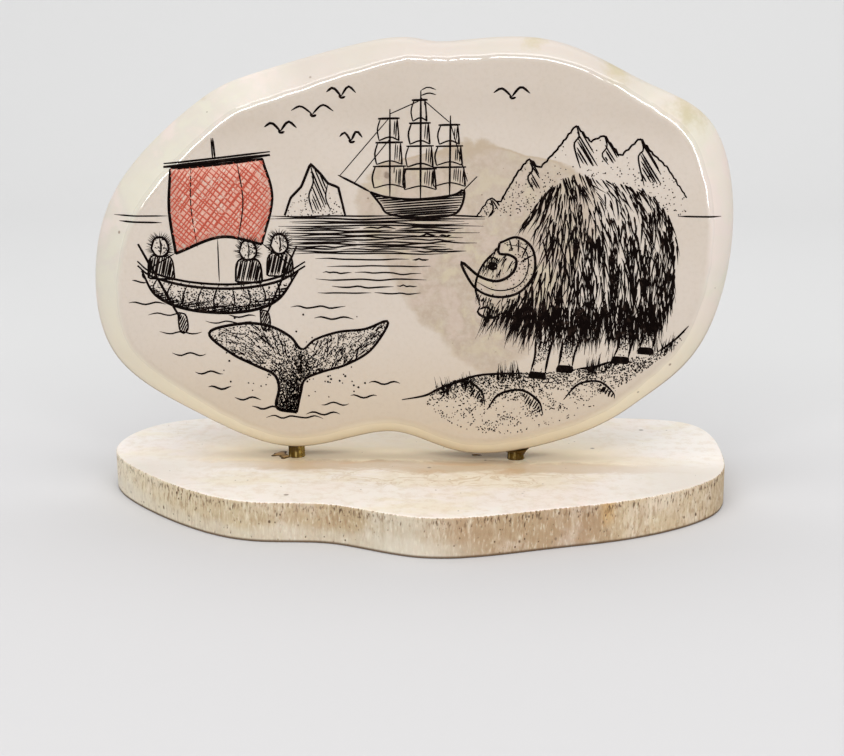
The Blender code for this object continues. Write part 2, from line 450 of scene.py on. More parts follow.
# ---------------------------------------------------------------------------------------------
# Bone slab. A cross-cut slab of whale bone, sawn flat, with its outer edge only sanded: upright
# canals are cut open there as grooves and short dark pores, most of them under the top edge.

SLAB_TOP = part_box("base")[1].z
SLAB_WIDTH = 82
SLAB_TOP_EDGE = 0.22 * MM
SLAB_FOOT_EDGE = 0.2 * MM
SLAB_KNOTS = 170
SLAB_COLUMNS = 2300
SLAB_WALL_ROWS = 26
GROOVE_KNOTS = (430, 170)
GROOVE_DEPTH = 0.05 * MM
PORE_DEPTH = 0.14 * MM
PORE_COUNT = 1500
PORE_SHARE_HIGH = 0.45
PORE_REACH = 6

BONE_TOP_COLOUR = (0.88, 0.825, 0.765, 1)
BONE_YELLOW_COLOUR = (0.82, 0.73, 0.54, 1)
BONE_PINK_COLOUR = (0.87, 0.785, 0.725, 1)
BONE_DIRT_COLOUR = (0.56, 0.40, 0.22, 1)
BONE_UNDER_PAINTED_LIGHT_COLOUR = (0.93, 0.78, 0.53, 1)
BONE_END_PAINTED_SHADE_COLOUR = (0.70, 0.635, 0.555, 1)
BONE_STRIP_PAINTED_LIGHT_COLOUR = (0.93, 0.81, 0.59, 1)
BONE_BAND_PAINTED_SHADOW_COLOUR = (0.58, 0.44, 0.285, 1)
BONE_RUST_COLOUR = (0.60, 0.40, 0.22, 1)
BONE_SIDE_STOPS = [
    (-41, (0.73, 0.66, 0.52, 1)), (-34, (0.66, 0.57, 0.40, 1)), (-26, (0.555, 0.455, 0.30, 1)),
    (-18, (0.475, 0.38, 0.245, 1)), (-10, (0.445, 0.335, 0.205, 1)), (-5, (0.45, 0.345, 0.21, 1)),
    (-2, (0.56, 0.49, 0.375, 1)), (1, (0.54, 0.47, 0.36, 1)), (4, (0.49, 0.395, 0.285, 1)),
    (7, (0.40, 0.275, 0.165, 1)), (14, (0.41, 0.29, 0.17, 1)), (22, (0.38, 0.25, 0.145, 1)),
    (27, (0.55, 0.435, 0.285, 1)), (37, (0.55, 0.43, 0.28, 1)), (41, (0.46, 0.35, 0.22, 1))]
BONE_BROWN_COLOUR = (0.33, 0.215, 0.12, 1)
BONE_PALE_COLOUR = (0.80, 0.73, 0.58, 1)
BONE_GREY_COLOUR = (0.66, 0.61, 0.51, 1)
BONE_ORANGE_COLOUR = (0.52, 0.30, 0.09, 1)
BONE_PORE_COLOUR = (0.10, 0.055, 0.025, 1)


def evenly(stroke, count):
    """A stroke read again at even steps of its length."""
    stroke = np.asarray(stroke, float)
    run = np.concatenate([[0.0], np.cumsum(np.linalg.norm(np.diff(stroke, axis=0), axis=1))])
    steps = np.linspace(0, run[-1], count)
    return np.stack([np.interp(steps, run, stroke[:, k]) for k in (0, 1)], axis=1)


def even_ring(ring, count):
    """A closed ring of places read again at even steps of its length."""
    return evenly(np.vstack([ring, ring[:1]]), count + 1)[:-1]


def pores(rng, down, length):
    """How far each place of the wall lies in a pore, from 0 to 1: exp(-(u/w)^2 - (v/l)^2) for each.

    Pores crowd where a slow wave is high, and a share of them lie long and high under the top.
    """
    depth = np.zeros((len(down), SLAB_COLUMNS))
    column = np.arange(SLAB_COLUMNS) / SLAB_COLUMNS
    place = rng.uniform(0, 1, PORE_COUNT)
    crowd = 0.5 + 0.5 * np.interp(place, column, waves(rng, SLAB_COLUMNS, 30), period=1.0)
    kept = rng.uniform(0, 1, PORE_COUNT) < crowd
    high = rng.uniform(0, 1, PORE_COUNT) < PORE_SHARE_HIGH
    deep = np.where(high, rng.exponential(0.4, PORE_COUNT) + 0.4, rng.uniform(0.5, 4.8, PORE_COUNT))
    wide = rng.uniform(0.06, 0.12, PORE_COUNT)
    tall = np.where(high, rng.uniform(0.12, 0.42, PORE_COUNT), rng.uniform(0.08, 0.25, PORE_COUNT))
    dark = rng.uniform(0.45, 1.0, PORE_COUNT)
    near = np.arange(-PORE_REACH, PORE_REACH + 1)
    for u, v, w, l, strong in np.column_stack([place, deep, wide, tall, dark])[kept]:
        centre = int(u * SLAB_COLUMNS)
        off = (near + centre - u * SLAB_COLUMNS) * length / MM / SLAB_COLUMNS + 0.1 * (down - v)
        here = (centre + near) % SLAB_COLUMNS
        bump = strong * np.exp(-((down - v) / l) ** 2 - (off / w) ** 2)
        depth[:, here] = np.maximum(depth[:, here], bump)
    return depth


def slab_grid():
    """Rings from under the slab out to its foot, up its wall and in over its top.

    The wall is pressed in along the outline's normal by G * (1 + groove) / 2 + P * pore. Grooves
    are waves along the outline that drift with height. Beside the rings come the length round,
    the pores' depth and the distance under the top at their places.
    """
    rng = np.random.default_rng(13)
    loop = smooth_loop(even_ring(level_ring("base", 2, SLAB_FOOT_EDGE, (0.0, 0.0)), SLAB_KNOTS), 40)
    loop = np.roll(loop, -np.argmin(np.arctan2(loop[:, 1], loop[:, 0])), axis=0)
    length = np.linalg.norm(loop - np.roll(loop, 1, axis=0), axis=1).sum()
    loop = even_ring(loop, SLAB_COLUMNS)
    out = loop_normals(loop)
    bend = np.linspace(0, np.pi / 2, 5)
    rows = [(SLAB_FOOT_EDGE * (1 - np.sin(a)), SLAB_FOOT_EDGE * (1 - np.cos(a)), 0.5) for a in bend[:-1]]
    rows += [(0.0, z, 1.0) for z in np.linspace(SLAB_FOOT_EDGE, SLAB_TOP - SLAB_TOP_EDGE, SLAB_WALL_ROWS)]
    rows += [(SLAB_TOP_EDGE * (1 - np.cos(a)), SLAB_TOP - SLAB_TOP_EDGE * (1 - np.sin(a)), weight)
             for a, weight in zip(bend[1:], (0.9, 0.75, 0.5, 0.25))]
    inset, z, weight = (np.array(part)[:, None] for part in zip(*rows))
    down = (SLAB_TOP - z) / MM
    column = np.arange(SLAB_COLUMNS) / SLAB_COLUMNS
    fine, slow = (waves(rng, SLAB_COLUMNS, knots) for knots in GROOVE_KNOTS)
    groove = (0.6 * fine + 0.4 * slow) * (0.75 + 0.25 * np.cos(1.3 * down + 40 * column))
    pore = pores(rng, down, length)
    press = (GROOVE_DEPTH * 0.5 * (1 + groove) + PORE_DEPTH * pore) * weight
    place = loop - out * (inset + press)[..., None]
    wall = np.concatenate([place, np.broadcast_to(z[..., None], place.shape[:2] + (1,))], axis=2)
    foot = loop - out * SLAB_FOOT_EDGE
    under = [np.column_stack([foot * share, 0 * column]) for share in (0.05, 0.5)]
    rim = wall[-1, :, :2]
    over = [np.column_stack([rim * share, SLAB_TOP + 0 * column]) for share in (0.985, 0.9, 0.5, 0.05)]
    rings = np.concatenate([under, wall, over])
    marks = {"around": np.broadcast_to(column * length, rings.shape[:2])}
    for name, values in (("pore", pore), ("down", down)):
        marks[name] = np.zeros(rings.shape[:2])
        marks[name][len(under):-len(over)] = values
    return rings, marks


def bump(height, strength, distance):
    """A normal that follows a height."""
    inputs = {"Height": height, "Strength": strength, "Distance": distance}
    return node(height.tree, "Bump", 0, inputs)


def bone_material():
    """Bone: a pale polished top, and a side of short upright streaks, pores and brown stains.

    The side's ground colour is a ramp over x; streaks and pores are noise over the length round
    the outline and a share of the height, with painted contact shadow along the side's foot. Under
    the slice the top is painted paler and warmer, painted light in the slice's shadow, and before it
    a darker band is painted shadow. The top's two front ends are painted darker, painted shade
    where both overhead lamps reach them.
    """
    material, where = new_material("bone")
    x, y, z = split(where)
    around, pore, down = (attribute(where, name) for name in ("around", "pore", "down"))
    tall, short, even = (node(where.tree, "CombineXYZ", 0, {0: around, 1: share * z})
                         for share in (0.16, 0.28, 0.75))
    blot = noise(where, 190, 3, 0.6)
    stops = [(place / SLAB_WIDTH + 0.5, tone) for place, tone in BONE_SIDE_STOPS]
    ground = ramp((6 * MM * blot + (x - 3 * MM)) * (1 / (SLAB_WIDTH * MM)) + 0.5, stops)
    hair, fine = noise(short, 3000, 2, 0.6), noise(short, 1700, 3, 0.65)
    broad = noise(tall, 800, 3, 0.6)
    crowd = noise(tall, 95, 2, 0.5).step(0.40, 0.58, 1.0, 0.5)
    crowd = crowd * abs(x - 1 * MM).step(2 * MM, 5 * MM, 1.0, 0.4)
    low = (2.5 * blot + down).step(3.4, 5.0) * x.step(12 * MM, 4 * MM)
    stain = abs(x - 24.6 * MM).step(1.3 * MM, 0.2 * MM) * down.step(3.6, 1.6)
    dots = highest(specks(even, 900, 0.6), specks(even, 1500, 0.5))
    ticks = hair.step(0.55, 0.63) * (3.0 * fine + down).step(3.2, 1.9)
    holes = highest(dots, 0.9 * ticks) * crowd
    side = painted(ground, (blot.step(0.46, 0.70, 0.25), BONE_PINK_COLOUR),
                   (hair.step(0.46, 0.30, 0.4), BONE_PALE_COLOUR),
                   (broad.step(0.48, 0.28, 0.25), BONE_PALE_COLOUR),
                   (broad.step(0.52, 0.76, 0.45), BONE_BROWN_COLOUR),
                   (hair.step(0.50, 0.64, 0.6) * crowd, BONE_BROWN_COLOUR),
                   (fine.step(0.55, 0.65, 0.75) * crowd, BONE_BROWN_COLOUR),
                   (0.45 * low, BONE_GREY_COLOUR), (0.5 * stain, BONE_ORANGE_COLOUR),
                   # Painted contact shadow: the dark coat along the foot of the side.
                   (holes, BONE_PORE_COLOUR), (z.step(0.45 * MM, 0.18 * MM, 0.9), BONE_PORE_COLOUR))
    cloudy = noise(where, 70, 4, 0.55)
    drawn = node(where.tree, "Mapping", 0, {"Vector": where, "Rotation": (0, 0, 0.12), "Scale": (0.5, 1, 1)})
    middle = abs(y + 5.5 * MM).step(7.5 * MM, 3 * MM) * abs(x - 6 * MM).step(22 * MM, 8 * MM)
    rings = abs(noise(drawn, 330, 3, 0.6, 1.2) - 0.5).step(0.035, 0.006, 0.6) * middle
    back = y + 2 * MM * cloudy + (7 * MM * noise(drawn, 230, 5, 0.7, 0.6) - 3.5 * MM)
    # Painted light: under and behind the slice, in its shadow, the top is painted paler and warmer.
    under = back.step(-1.4 * MM, 1.0 * MM) * back.step(16 * MM, 5 * MM, 1.0, 0.35)
    # Painted light: a pale strip in the slice's shadow, where the top also loses its sheen and specular.
    shadow_strip = abs(back - 3.4 * MM).step(5.0 * MM, 2.4 * MM) * abs(x).step(31 * MM, 18 * MM)
    # Painted shadow: a darker band on the top just before the slice.
    band = abs(back + 1.5 * MM).step(3.1 * MM, 1.3 * MM) * abs(x - 3 * MM).step(36 * MM, 16 * MM)
    rust = noise(drawn, 260, 4, 0.6, 0.5).step(0.47, 0.58, 0.6) * band
    spots = highest(specks(where, 420, 0.07), specks(where, 1300, 0.06))
    top = painted(BONE_TOP_COLOUR, (cloudy.step(0.46, 0.66), BONE_PINK_COLOUR),
                  ((0.16 * middle + noise(drawn, 150, 4, 0.65)).step(0.52, 0.68, 0.55), BONE_YELLOW_COLOUR),
                  (noise(where, 650, 5, 0.75).step(0.44, 0.68, 0.30), BONE_DIRT_COLOUR),
                  (rings, BONE_DIRT_COLOUR),
                  # Painted shade: the top's front ends, lit by both overhead lamps, are painted darker.
                  (abs(x).step(22 * MM, 36 * MM, 0.9) * y.step(5 * MM, -5 * MM), BONE_END_PAINTED_SHADE_COLOUR),
                  (under * abs(x).step(34 * MM, 20 * MM, 0.85), BONE_UNDER_PAINTED_LIGHT_COLOUR),
                  (0.85 * shadow_strip, BONE_STRIP_PAINTED_LIGHT_COLOUR), (0.85 * band, BONE_BAND_PAINTED_SHADOW_COLOUR),
                  (rust * abs(x - 5 * MM).step(24 * MM, 11 * MM), BONE_RUST_COLOUR),
                  (0.7 * spots, BONE_PORE_COLOUR))
    over = (0.35 * hair + down).step(0.15, 0.27) * down.step(0.0, 0.06)
    colour = painted(top, (over, side), (pore.step(0.25, 0.7, 0.85), BONE_PORE_COLOUR))
    edge = down.step(0.02, 0.10)
    return shaded(material, {
        "Base Color": colour, "Roughness": edge.step(0.0, 1.0, 0.75, 0.35),
        "Normal": bump(noise(where, 2600, 2) - 3.0 * (holes * over), 0.15, 0.05 * MM),
        "Specular IOR Level": 0.4 - 0.3 * shadow_strip,
        "Coat Weight": 0.25 * (edge.step(1.0, 0.0) * shadow_strip.step(0.8, 0.0)), "Coat Roughness": 0.22,
        "Coat Normal": bump(noise(drawn, 420, 3, 0.6), 0.5, 0.05 * MM),
        "Subsurface Weight": 0.06, "Subsurface Scale": 1.0 * MM})


rings, marks = slab_grid()
places, faces = capped_grid(rings)
marks = {name: np.append(values.ravel(), [0, 0]) for name, values in marks.items()}
bone_slab = mesh_piece("bone_slab", places, faces, marks=marks)
bone_slab.data.materials.append(bone_material())
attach(bone_slab, "root")
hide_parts("base")


# ---------------------------------------------------------------------------------------------
# Pins. Two short brass rods, cut from drawn wire, patinated brown, set in drilled holes of slab
# and slice. Their sides are a little flattened by the pliers that set them.

PIN_RADIUS = 1.1 * MM
PIN_FLATS = 7
PIN_FLATTENED = 0.07
PIN_CHAMFER = 0.15 * MM
BRASS_PATINA = (0.085, 0.046, 0.004, 1)
BRASS_BRIGHT = (0.42, 0.31, 0.09, 1)
BRASS_PALE = (0.46, 0.34, 0.13, 1)
BRASS_SPOT = (0.06, 0.028, 0.004, 1)


def pin_grid(low, high, lift):
    """Rings up a rod with rounded flats and small chamfers at both ends, and its angles' cosines.

    The radius is r * (1 - q * |cos(f (a - lift) / 2)|^3) at angle a, for f flats pressed in by q.
    """
    turn = np.linspace(0, 2 * np.pi, 168, endpoint=False)
    flat = 1 - PIN_FLATTENED * np.abs(np.cos(PIN_FLATS * (turn - lift) / 2)) ** 3
    centre = (low + high) / 2
    sides = np.linspace(low.z + 2 * PIN_CHAMFER, high.z - 2 * PIN_CHAMFER, 24)
    rows = [(0.05, low.z), (0.86, low.z), (1.0, low.z + PIN_CHAMFER), *((1.0, z) for z in sides)]
    rows += [(1.0, high.z - PIN_CHAMFER), (0.86, high.z), (0.05, high.z)]
    share, z = np.array(rows).T[..., None]
    radius = PIN_RADIUS * share * flat
    x, y = centre.x + radius * np.cos(turn), centre.y + radius * np.sin(turn)
    return np.stack([x, y, z + 0 * radius], axis=-1), np.cos(turn) + 0 * radius


def brass_material(name, low, high):
    """Drawn brass under a brown patina, rubbed bright where its angle's cosine passes low to high."""
    material, where = new_material(name)
    upright = node(where.tree, "Mapping", 0, {"Vector": where, "Scale": (1, 1, 0.15)})
    streaks = noise(upright, 1500, 3, 0.6)
    spots = noise(where, 2200, 3, 0.6).step(0.48, 0.62)
    worn = (0.35 * streaks + attribute(where, "side")).step(low, high)
    colour = painted(BRASS_PATINA, (worn, BRASS_BRIGHT),
                     (streaks.step(0.55, 0.63, 0.8) * worn.step(1.0, 0.0), BRASS_PALE),
                     (0.6 * spots, BRASS_SPOT))
    return shaded(material, {"Base Color": colour, "Metallic": worn, "Specular IOR Level": 0.15,
                             "Roughness": 0.25 * spots + 0.22})


for pin_name, lift, low, high in (("pin_left", 0.5, 0.45, 0.70), ("pin_right", 0.1, 1.0, 1.25)):
    rings, side = pin_grid(*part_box(pin_name), lift)
    places, faces = capped_grid(rings)
    pin = mesh_piece("brass_" + pin_name, places, faces, marks={"side": np.append(side, [0, 0])})
    pin.data.materials.append(brass_material("patinated_brass_" + pin_name, low, high))
    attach(pin, "root")
    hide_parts(pin_name)


# ---------------------------------------------------------------------------------------------
# Glue. Red-brown glue that set hard round the pins: a collar at the foot of each and at the right
# one's top, and three smears with uneven edges that ran out over the slab beside them.

GLUE_COLOUR = (0.095, 0.048, 0.006, 1)
GLUE_THIN_COLOUR = (0.58, 0.37, 0.15, 1)
GLUE_BED = 0.05 * MM
BEAD_EDGE = 0.02 * MM
BEAD_WAVE = 0.35
SMEAR_HEIGHT = 0.12 * MM
SMEAR_EDGE = 0.01 * MM
SMEAR_WAVE = 0.42


def underside(x):
    """The height of the slice's lower edge over a place along it."""
    low = slice_loop[slice_loop[:, 1] < SLICE_CENTRE[1]]
    low = low[np.argsort(low[:, 0])]
    return np.interp(x, low[:, 0], low[:, 1])


def glue_bead(x, y, inner, reach, tall, seed, side=1):
    """Places and quads of a bead round a pin, tall * (1 - s)^2 high at a share s of its width.

    Its outer edge is reach * (1 + q * waves) round the pin. It lies on the slab, or hangs from
    the slice's lower edge where side is -1.
    """
    turn = np.linspace(0, 2 * np.pi, 96, endpoint=False)
    wave = smooth_loop(np.random.default_rng(seed).uniform(-1, 1, (12, 2)), 8)[:, 0]
    share = np.linspace(0, 1, 10)[:, None]
    radius = inner + reach * (1 + BEAD_WAVE * wave) * share
    along, across = x + radius * np.cos(turn), y + radius * np.sin(turn)
    z = underside(along) if side < 0 else SLAB_TOP + 0 * along
    over = np.stack([along, across, z + side * (tall * (1 - share) ** 2 + BEAD_EDGE)], axis=-1)
    under = np.stack([along, across, z - side * GLUE_BED], axis=-1)
    rings = np.concatenate([over, under[::-1]])[:, ::side]
    return rings.reshape(-1, 3), grid_faces(*rings.shape[:2], len(rings))[:, ::-1]


def glue_material():
    """Red-brown glue with a dull skin, darker where it thickens towards its dried edge."""
    material, where = new_material("old_glue")
    thick = 0.9 * noise(where, 1100, 3, 0.6) + attribute(where, "outward")
    colour = painted(GLUE_THIN_COLOUR, (thick.step(0.95, 1.30), GLUE_COLOUR))
    return shaded(material, {"Base Color": colour, "Roughness": 0.5, "Specular IOR Level": 0.12})


left_low, left_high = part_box("pin_left")
right_low, right_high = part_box("pin_right")
left_x, right_x = (left_low.x + left_high.x) / 2, (right_low.x + right_high.x) / 2
pin_y = (left_low.y + left_high.y) / 2
glue = glue_material()
beads = [glue_bead(left_x, pin_y, PIN_RADIUS * 0.9, 0.14 * MM, 0.10 * MM, 3),
         glue_bead(right_x, pin_y, PIN_RADIUS * 0.9, 0.12 * MM, 0.10 * MM, 4),
         glue_bead(right_x + 0.5 * MM, pin_y - 0.2 * MM, PIN_RADIUS * 0.6, 1.1 * MM, 0.85 * MM, 6, -1)]
places = np.concatenate([bead for bead, _ in beads])
faces = np.concatenate([faces + k * len(bead) for k, (bead, faces) in enumerate(beads)])
glue_beads = mesh_piece("glue_beads", places, faces, marks={"outward": np.ones(len(places))})
glue_beads.data.materials.append(glue)
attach(glue_beads, "root")


def smear_grid(x, y, wide, deep, seed):
    """A low drop of glue, h * (1 - s^2) high at a share s of an uneven outline's reach."""
    edge = 1 + SMEAR_WAVE * smooth_loop(np.random.default_rng(seed).uniform(-1, 1, (11, 2)), 9)[:, 0]
    turn = np.linspace(0, 2 * np.pi, len(edge), endpoint=False)
    share = np.linspace(0.04, 1, 9)[:, None]
    reach = edge * share
    flat = np.stack([x + wide * reach * np.cos(turn), y + deep * reach * np.sin(turn)], axis=-1)
    rise = SLAB_TOP + SMEAR_HEIGHT * (1 - share**2) + SMEAR_EDGE + 0 * reach
    over = np.concatenate([flat, rise[..., None]], axis=-1)
    under = np.concatenate([flat, np.full_like(rise, SLAB_TOP - GLUE_BED)[..., None]], axis=-1)
    outward = share + 0 * reach
    return np.concatenate([over, under[::-1]]), np.concatenate([outward, outward[::-1]])


for name, x, y, wide, deep, seed in (
        ("glue_smear_left", left_x - 2.4 * MM, pin_y + 0.7 * MM, 1.1 * MM, 1.15 * MM, 8),
        ("glue_smear_pin", left_x - 1.45 * MM, pin_y - 0.55 * MM, 0.8 * MM, 0.8 * MM, 2),
        ("glue_smear_right", right_x - 5.2 * MM, pin_y + 1.2 * MM, 0.6 * MM, 0.22 * MM, 5)):
    rings, outward = smear_grid(x, y, wide, deep, seed)
    places, faces = capped_grid(rings)
    smear = mesh_piece(name, places, faces[:, ::-1], marks={"outward": np.append(outward, [0, 0])})
    smear.data.materials.append(glue)
    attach(smear, "root")


# ---------------------------------------------------------------------------------------------
# Musk ox, engraved at the right. Needle cuts in the polished face, rubbed full of black ink and
# wiped flush: an outline, combed hair, a horn and legs shaded by dots. Places are in millimetres
# on the face.

INK_PROUD = 0.012
INK_DEPTH = 0.10
INK_SWELL = 1.2
INK_LEAST_HALF = 0.012
CUT_STEP = 0.45
CUT_STEP_ROUND = 0.16
CUT_PLACES = (6, 160)
HAIR_PLACES = 7
BLACK_INK = (0.004, 0.002, 0.0015, 1)
BLACK_INK_WORN = (0.06, 0.036, 0.026, 1)
draw = np.random.default_rng(41)


def curve(points, count=48):
    """A Catmull-Rom curve through points, read at even steps of its length.

    Each span is the cubic whose ends lie on two neighbours and whose slope at a point is half
    the step from the one before to the one after.
    """
    points = np.asarray(points, float)
    ends = np.array([2 * points[0] - points[1], *points, 2 * points[-1] - points[-2]])
    t = np.linspace(0, 1, 12, endpoint=False)[None, :, None]
    a, b, c, d = (ends[k:len(ends) - 3 + k, None] for k in range(4))
    spans = b + 0.5 * t * (c - a + t * (2 * a - 5 * b + 4 * c - d + t * (3 * (b - c) + d - a)))
    return evenly(np.concatenate([spans.reshape(-1, 2), points[-1:]]), count)


def closed(points, count=120):
    """A closed curve through points; its first place comes again at its end."""
    return curve([*points, points[0]], count)


def inside(places, loop):
    """Whether places lie in a loop: a ray from each to +x crosses it an odd number of times."""
    x, z = places[..., 0, None], places[..., 1, None]
    (ax, az), (bx, bz) = loop.T, np.roll(loop, -1, axis=0).T
    crossed = ((az > z) != (bz > z)) & (x < ax + (z - az) * (bx - ax) / (bz - az + 1e-9))
    return crossed.sum(-1) % 2 == 1


def parts(stroke, loop, keep):
    """The parts of a stroke that lie inside a loop, or outside it where keep is False."""
    fine = evenly(stroke, max(12, int(np.abs(np.diff(stroke, axis=0)).sum() / 0.12)))
    flags = np.concatenate([[False], inside(fine, loop) == keep, [False]])
    edges = np.flatnonzero(flags[1:] != flags[:-1]).reshape(-1, 2)
    return [fine[a:b] for a, b in edges if b - a > 3]


def behind(strokes, loops):
    """Strokes without what runs behind any of several loops."""
    for loop in loops:
        strokes = [part for stroke in strokes for part in parts(stroke, loop, False)]
    return strokes


def hatch(loop, slant, gap, jitter=0.1):
    """Parallel strokes at a slant in degrees, clipped to a loop, with uneven gaps and ends."""
    along = np.array([np.cos(np.radians(slant)), np.sin(np.radians(slant))])
    across = np.array([-along[1], along[0]])
    reach, sides = loop @ along, loop @ across
    strokes = []
    for level in np.arange(sides.min() + gap / 2, sides.max(), gap):
        ends = level * across + np.outer([reach.min() - 1, reach.max() + 1], along)
        ends += draw.normal(0, jitter, (2, 2))
        bow = ends.mean(axis=0) + across * draw.normal(0, jitter)
        for part in parts(curve([ends[0], bow, ends[1]], 40), loop, True):
            first, last = draw.integers(0, 3, 2) if len(part) > 9 else (0, 0)
            strokes.append(part[first:len(part) - last])
    return strokes


def scattered(loop, count):
    """Random places in a loop."""
    places = draw.uniform(loop.min(axis=0), loop.max(axis=0), (count * 4, 2))
    return places[inside(places, loop)][:count]


def combed(roots, guides, length, curl=0.16):
    """Hairs that start at roots and follow a field of directions.

    The field at a place is the mean of the guides' directions, given as x, z and degrees,
    weighted by one over the squared distance.
    """
    guides = np.asarray(guides, float)
    ways = np.stack([np.cos(np.radians(guides[:, 2])), np.sin(np.radians(guides[:, 2]))], axis=1)
    lean = draw.normal(0, curl, (len(roots), 1))
    step = (np.broadcast_to(length, len(roots)) / (HAIR_PLACES - 1))[:, None]
    hairs = [roots]
    for _ in range(HAIR_PLACES - 1):
        far = ((hairs[-1][:, None] - guides[None, :, :2]) ** 2).sum(-1) + 0.4
        way = (ways[None] / far[..., None]).sum(1)
        way /= np.linalg.norm(way, axis=1, keepdims=True)
        hairs.append(hairs[-1] + step * (way + lean * way[:, ::-1] * (-1, 1)))
    return np.stack(hairs, axis=1)


def pens(strokes, width, ends=0.35):
    """Strokes with their widths: full in the middle, a share of it at both ends."""
    return [(stroke, width * draw.uniform(0.85, 1.15), ends) for stroke in strokes]


def lines(width, *strokes, ends=0.35, count=48):
    """Pen strokes of one width, each a curve through its points."""
    return pens([curve(stroke, count) for stroke in strokes], width, ends)


def tufts(hairs, thin, thick):
    """Hairs with their widths: full near the root and drawn out to a point."""
    return [(hair, wide, None) for hair, wide in zip(hairs, draw.uniform(thin, thick, len(hairs)))]


def stippled(loop, count, shade, size=0.10):
    """Dots in a loop as x, z and radius; shade gives the chance that a dot stays."""
    places = scattered(loop, count)
    places = places[draw.uniform(0, 1, len(places)) < shade(*places.T)]
    return np.column_stack([places, size * draw.uniform(0.6, 1.35, len(places))])


def front_y(x, z):
    """The y of the slice's front, in millimetres, over a place on the drawing."""
    away = np.stack([x, z], axis=-1) - SLICE_CENTRE / MM
    reach, lean, width = slice_edge(np.arctan2(away[..., 1], away[..., 0]))
    inset = reach * lean - np.linalg.norm(away, axis=-1) * lean * MM
    return (FACE_Y + front_depth(inset, width)) / MM


def cut_bodies(strokes):
    """Vertices and triangles of cuts: a flush top and two walls that meet in a line below it.

    Where a stroke runs over the shoulder its places lie closer together. No two tops that cross
    stand equally proud. A cut's half width at a share s of its length, never under a least one, is
    k * w/2 * (e + (1 - e) * min(1, 5 s, 5 (1 - s))) for a pen stroke with ends e, and
    k * w/2 * min(0.4 + 5 s, 1.03 - s) for a hair; k is how far the ink swells a cut.
    """
    verts, faces, start = [], [], 0
    sizes = []
    for path, _, ends in strokes:
        past_face = ends is not None and front_y(*np.transpose(path)).max() > FACE_Y / MM + 0.001
        steps = np.abs(np.diff(path, axis=0)).sum() / (CUT_STEP_ROUND if past_face else CUT_STEP)
        sizes.append(HAIR_PLACES if ends is None else int(np.clip(steps, *CUT_PLACES)))
    for size in sorted(set(sizes)):
        chosen = [stroke for stroke, own in zip(strokes, sizes) if own == size]
        path = np.stack([s if len(s) == size else evenly(s, size) for s, _, _ in chosen])
        wide, ends = (np.array([stroke[k] or 0.0 for stroke in chosen])[:, None] for k in (1, 2))
        hair = np.array([stroke[2] is None for stroke in chosen])[:, None]
        share = np.linspace(0, 1, size)[None]
        swell = ends + (1 - ends) * np.clip(5 * np.minimum(share, 1 - share), 0, 1)
        half = INK_SWELL * wide / 2 * np.where(hair, np.minimum(0.4 + 5 * share, 1.03 - share), swell)
        half = np.maximum(half, INK_LEAST_HALF)[..., None]
        along = np.gradient(path, axis=1)
        along /= np.maximum(np.linalg.norm(along, axis=2, keepdims=True), 1e-6)
        across = np.stack([-along[..., 1], along[..., 0]], axis=-1)
        proud = INK_PROUD * (0.6 + 0.8 * (0.618 * (np.arange(len(chosen)) + start) % 1))[:, None]
        rows = []
        for off, sink in ((across * half, -proud), (-across * half, -proud), (0, INK_DEPTH)):
            x, z = np.moveaxis(path + off, -1, 0)
            rows.append(np.stack([x, front_y(x, z) + sink, z], axis=-1))
        verts.append(np.stack(rows, axis=2).reshape(-1, 3))
        sides = np.array([(0, 1, 4), (0, 4, 3), (1, 2, 5), (1, 5, 4), (2, 0, 3), (2, 3, 5)])
        body = (3 * np.arange(size - 1)[:, None, None] + sides).reshape(-1, 3)
        last = 3 * size - 3
        body = np.concatenate([body, [(0, 2, 1), (last, last + 1, last + 2)]])
        faces.append((np.arange(len(chosen))[:, None, None] * 3 * size + body + start).reshape(-1, 3))
        start += len(chosen) * 3 * size
    return np.concatenate(verts), np.concatenate(faces)


def dot_bodies(dots):
    """Vertices and triangles of dots: five-cornered tops over a point sunk below the face."""
    turn = draw.uniform(0, 2 * np.pi, len(dots))[:, None] + np.arange(5) * 2 * np.pi / 5
    x = dots[:, :1] + dots[:, 2:] * np.cos(turn)
    z = dots[:, 1:2] + dots[:, 2:] * np.sin(turn)
    x, z = np.column_stack([x, dots[:, 0]]), np.column_stack([z, dots[:, 1]])
    sink = np.array([-INK_PROUD] * 5 + [INK_DEPTH])
    verts = np.stack([x, front_y(x, z) + sink, z], axis=-1).reshape(-1, 3)
    sides = np.array([(0, 1, 2), (0, 2, 3), (0, 3, 4), *(((k + 1) % 5, k, 5) for k in range(5))])
    return verts, (np.arange(len(dots))[:, None, None] * 6 + sides).reshape(-1, 3)


def engraved(name, strokes, dots, material):
    """One piece from strokes and dots, all closed bodies let into the face."""
    verts, faces = cut_bodies(strokes)
    if len(dots):
        more, more_faces = dot_bodies(np.concatenate(dots))
        faces = np.concatenate([faces, more_faces + len(verts)])
        verts = np.concatenate([verts, more])
    piece = mesh_piece(name, verts * MM, faces, smooth=False)
    piece.data.materials.append(material)
    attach(piece, "root")


def ink_material(name, colour, worn, rubbed=0.4):
    """Ink rubbed into cuts: matt, and in places thinner by a share where the rubbing took it out."""
    material, where = new_material(name)
    thin = noise(where, 1400, 3, 0.6).step(0.52, 0.86 - 0.2 * rubbed)
    colour = painted(colour, (rubbed * thin, worn))
    return shaded(material, {"Base Color": colour, "Roughness": 0.7, "Specular IOR Level": 0.03})


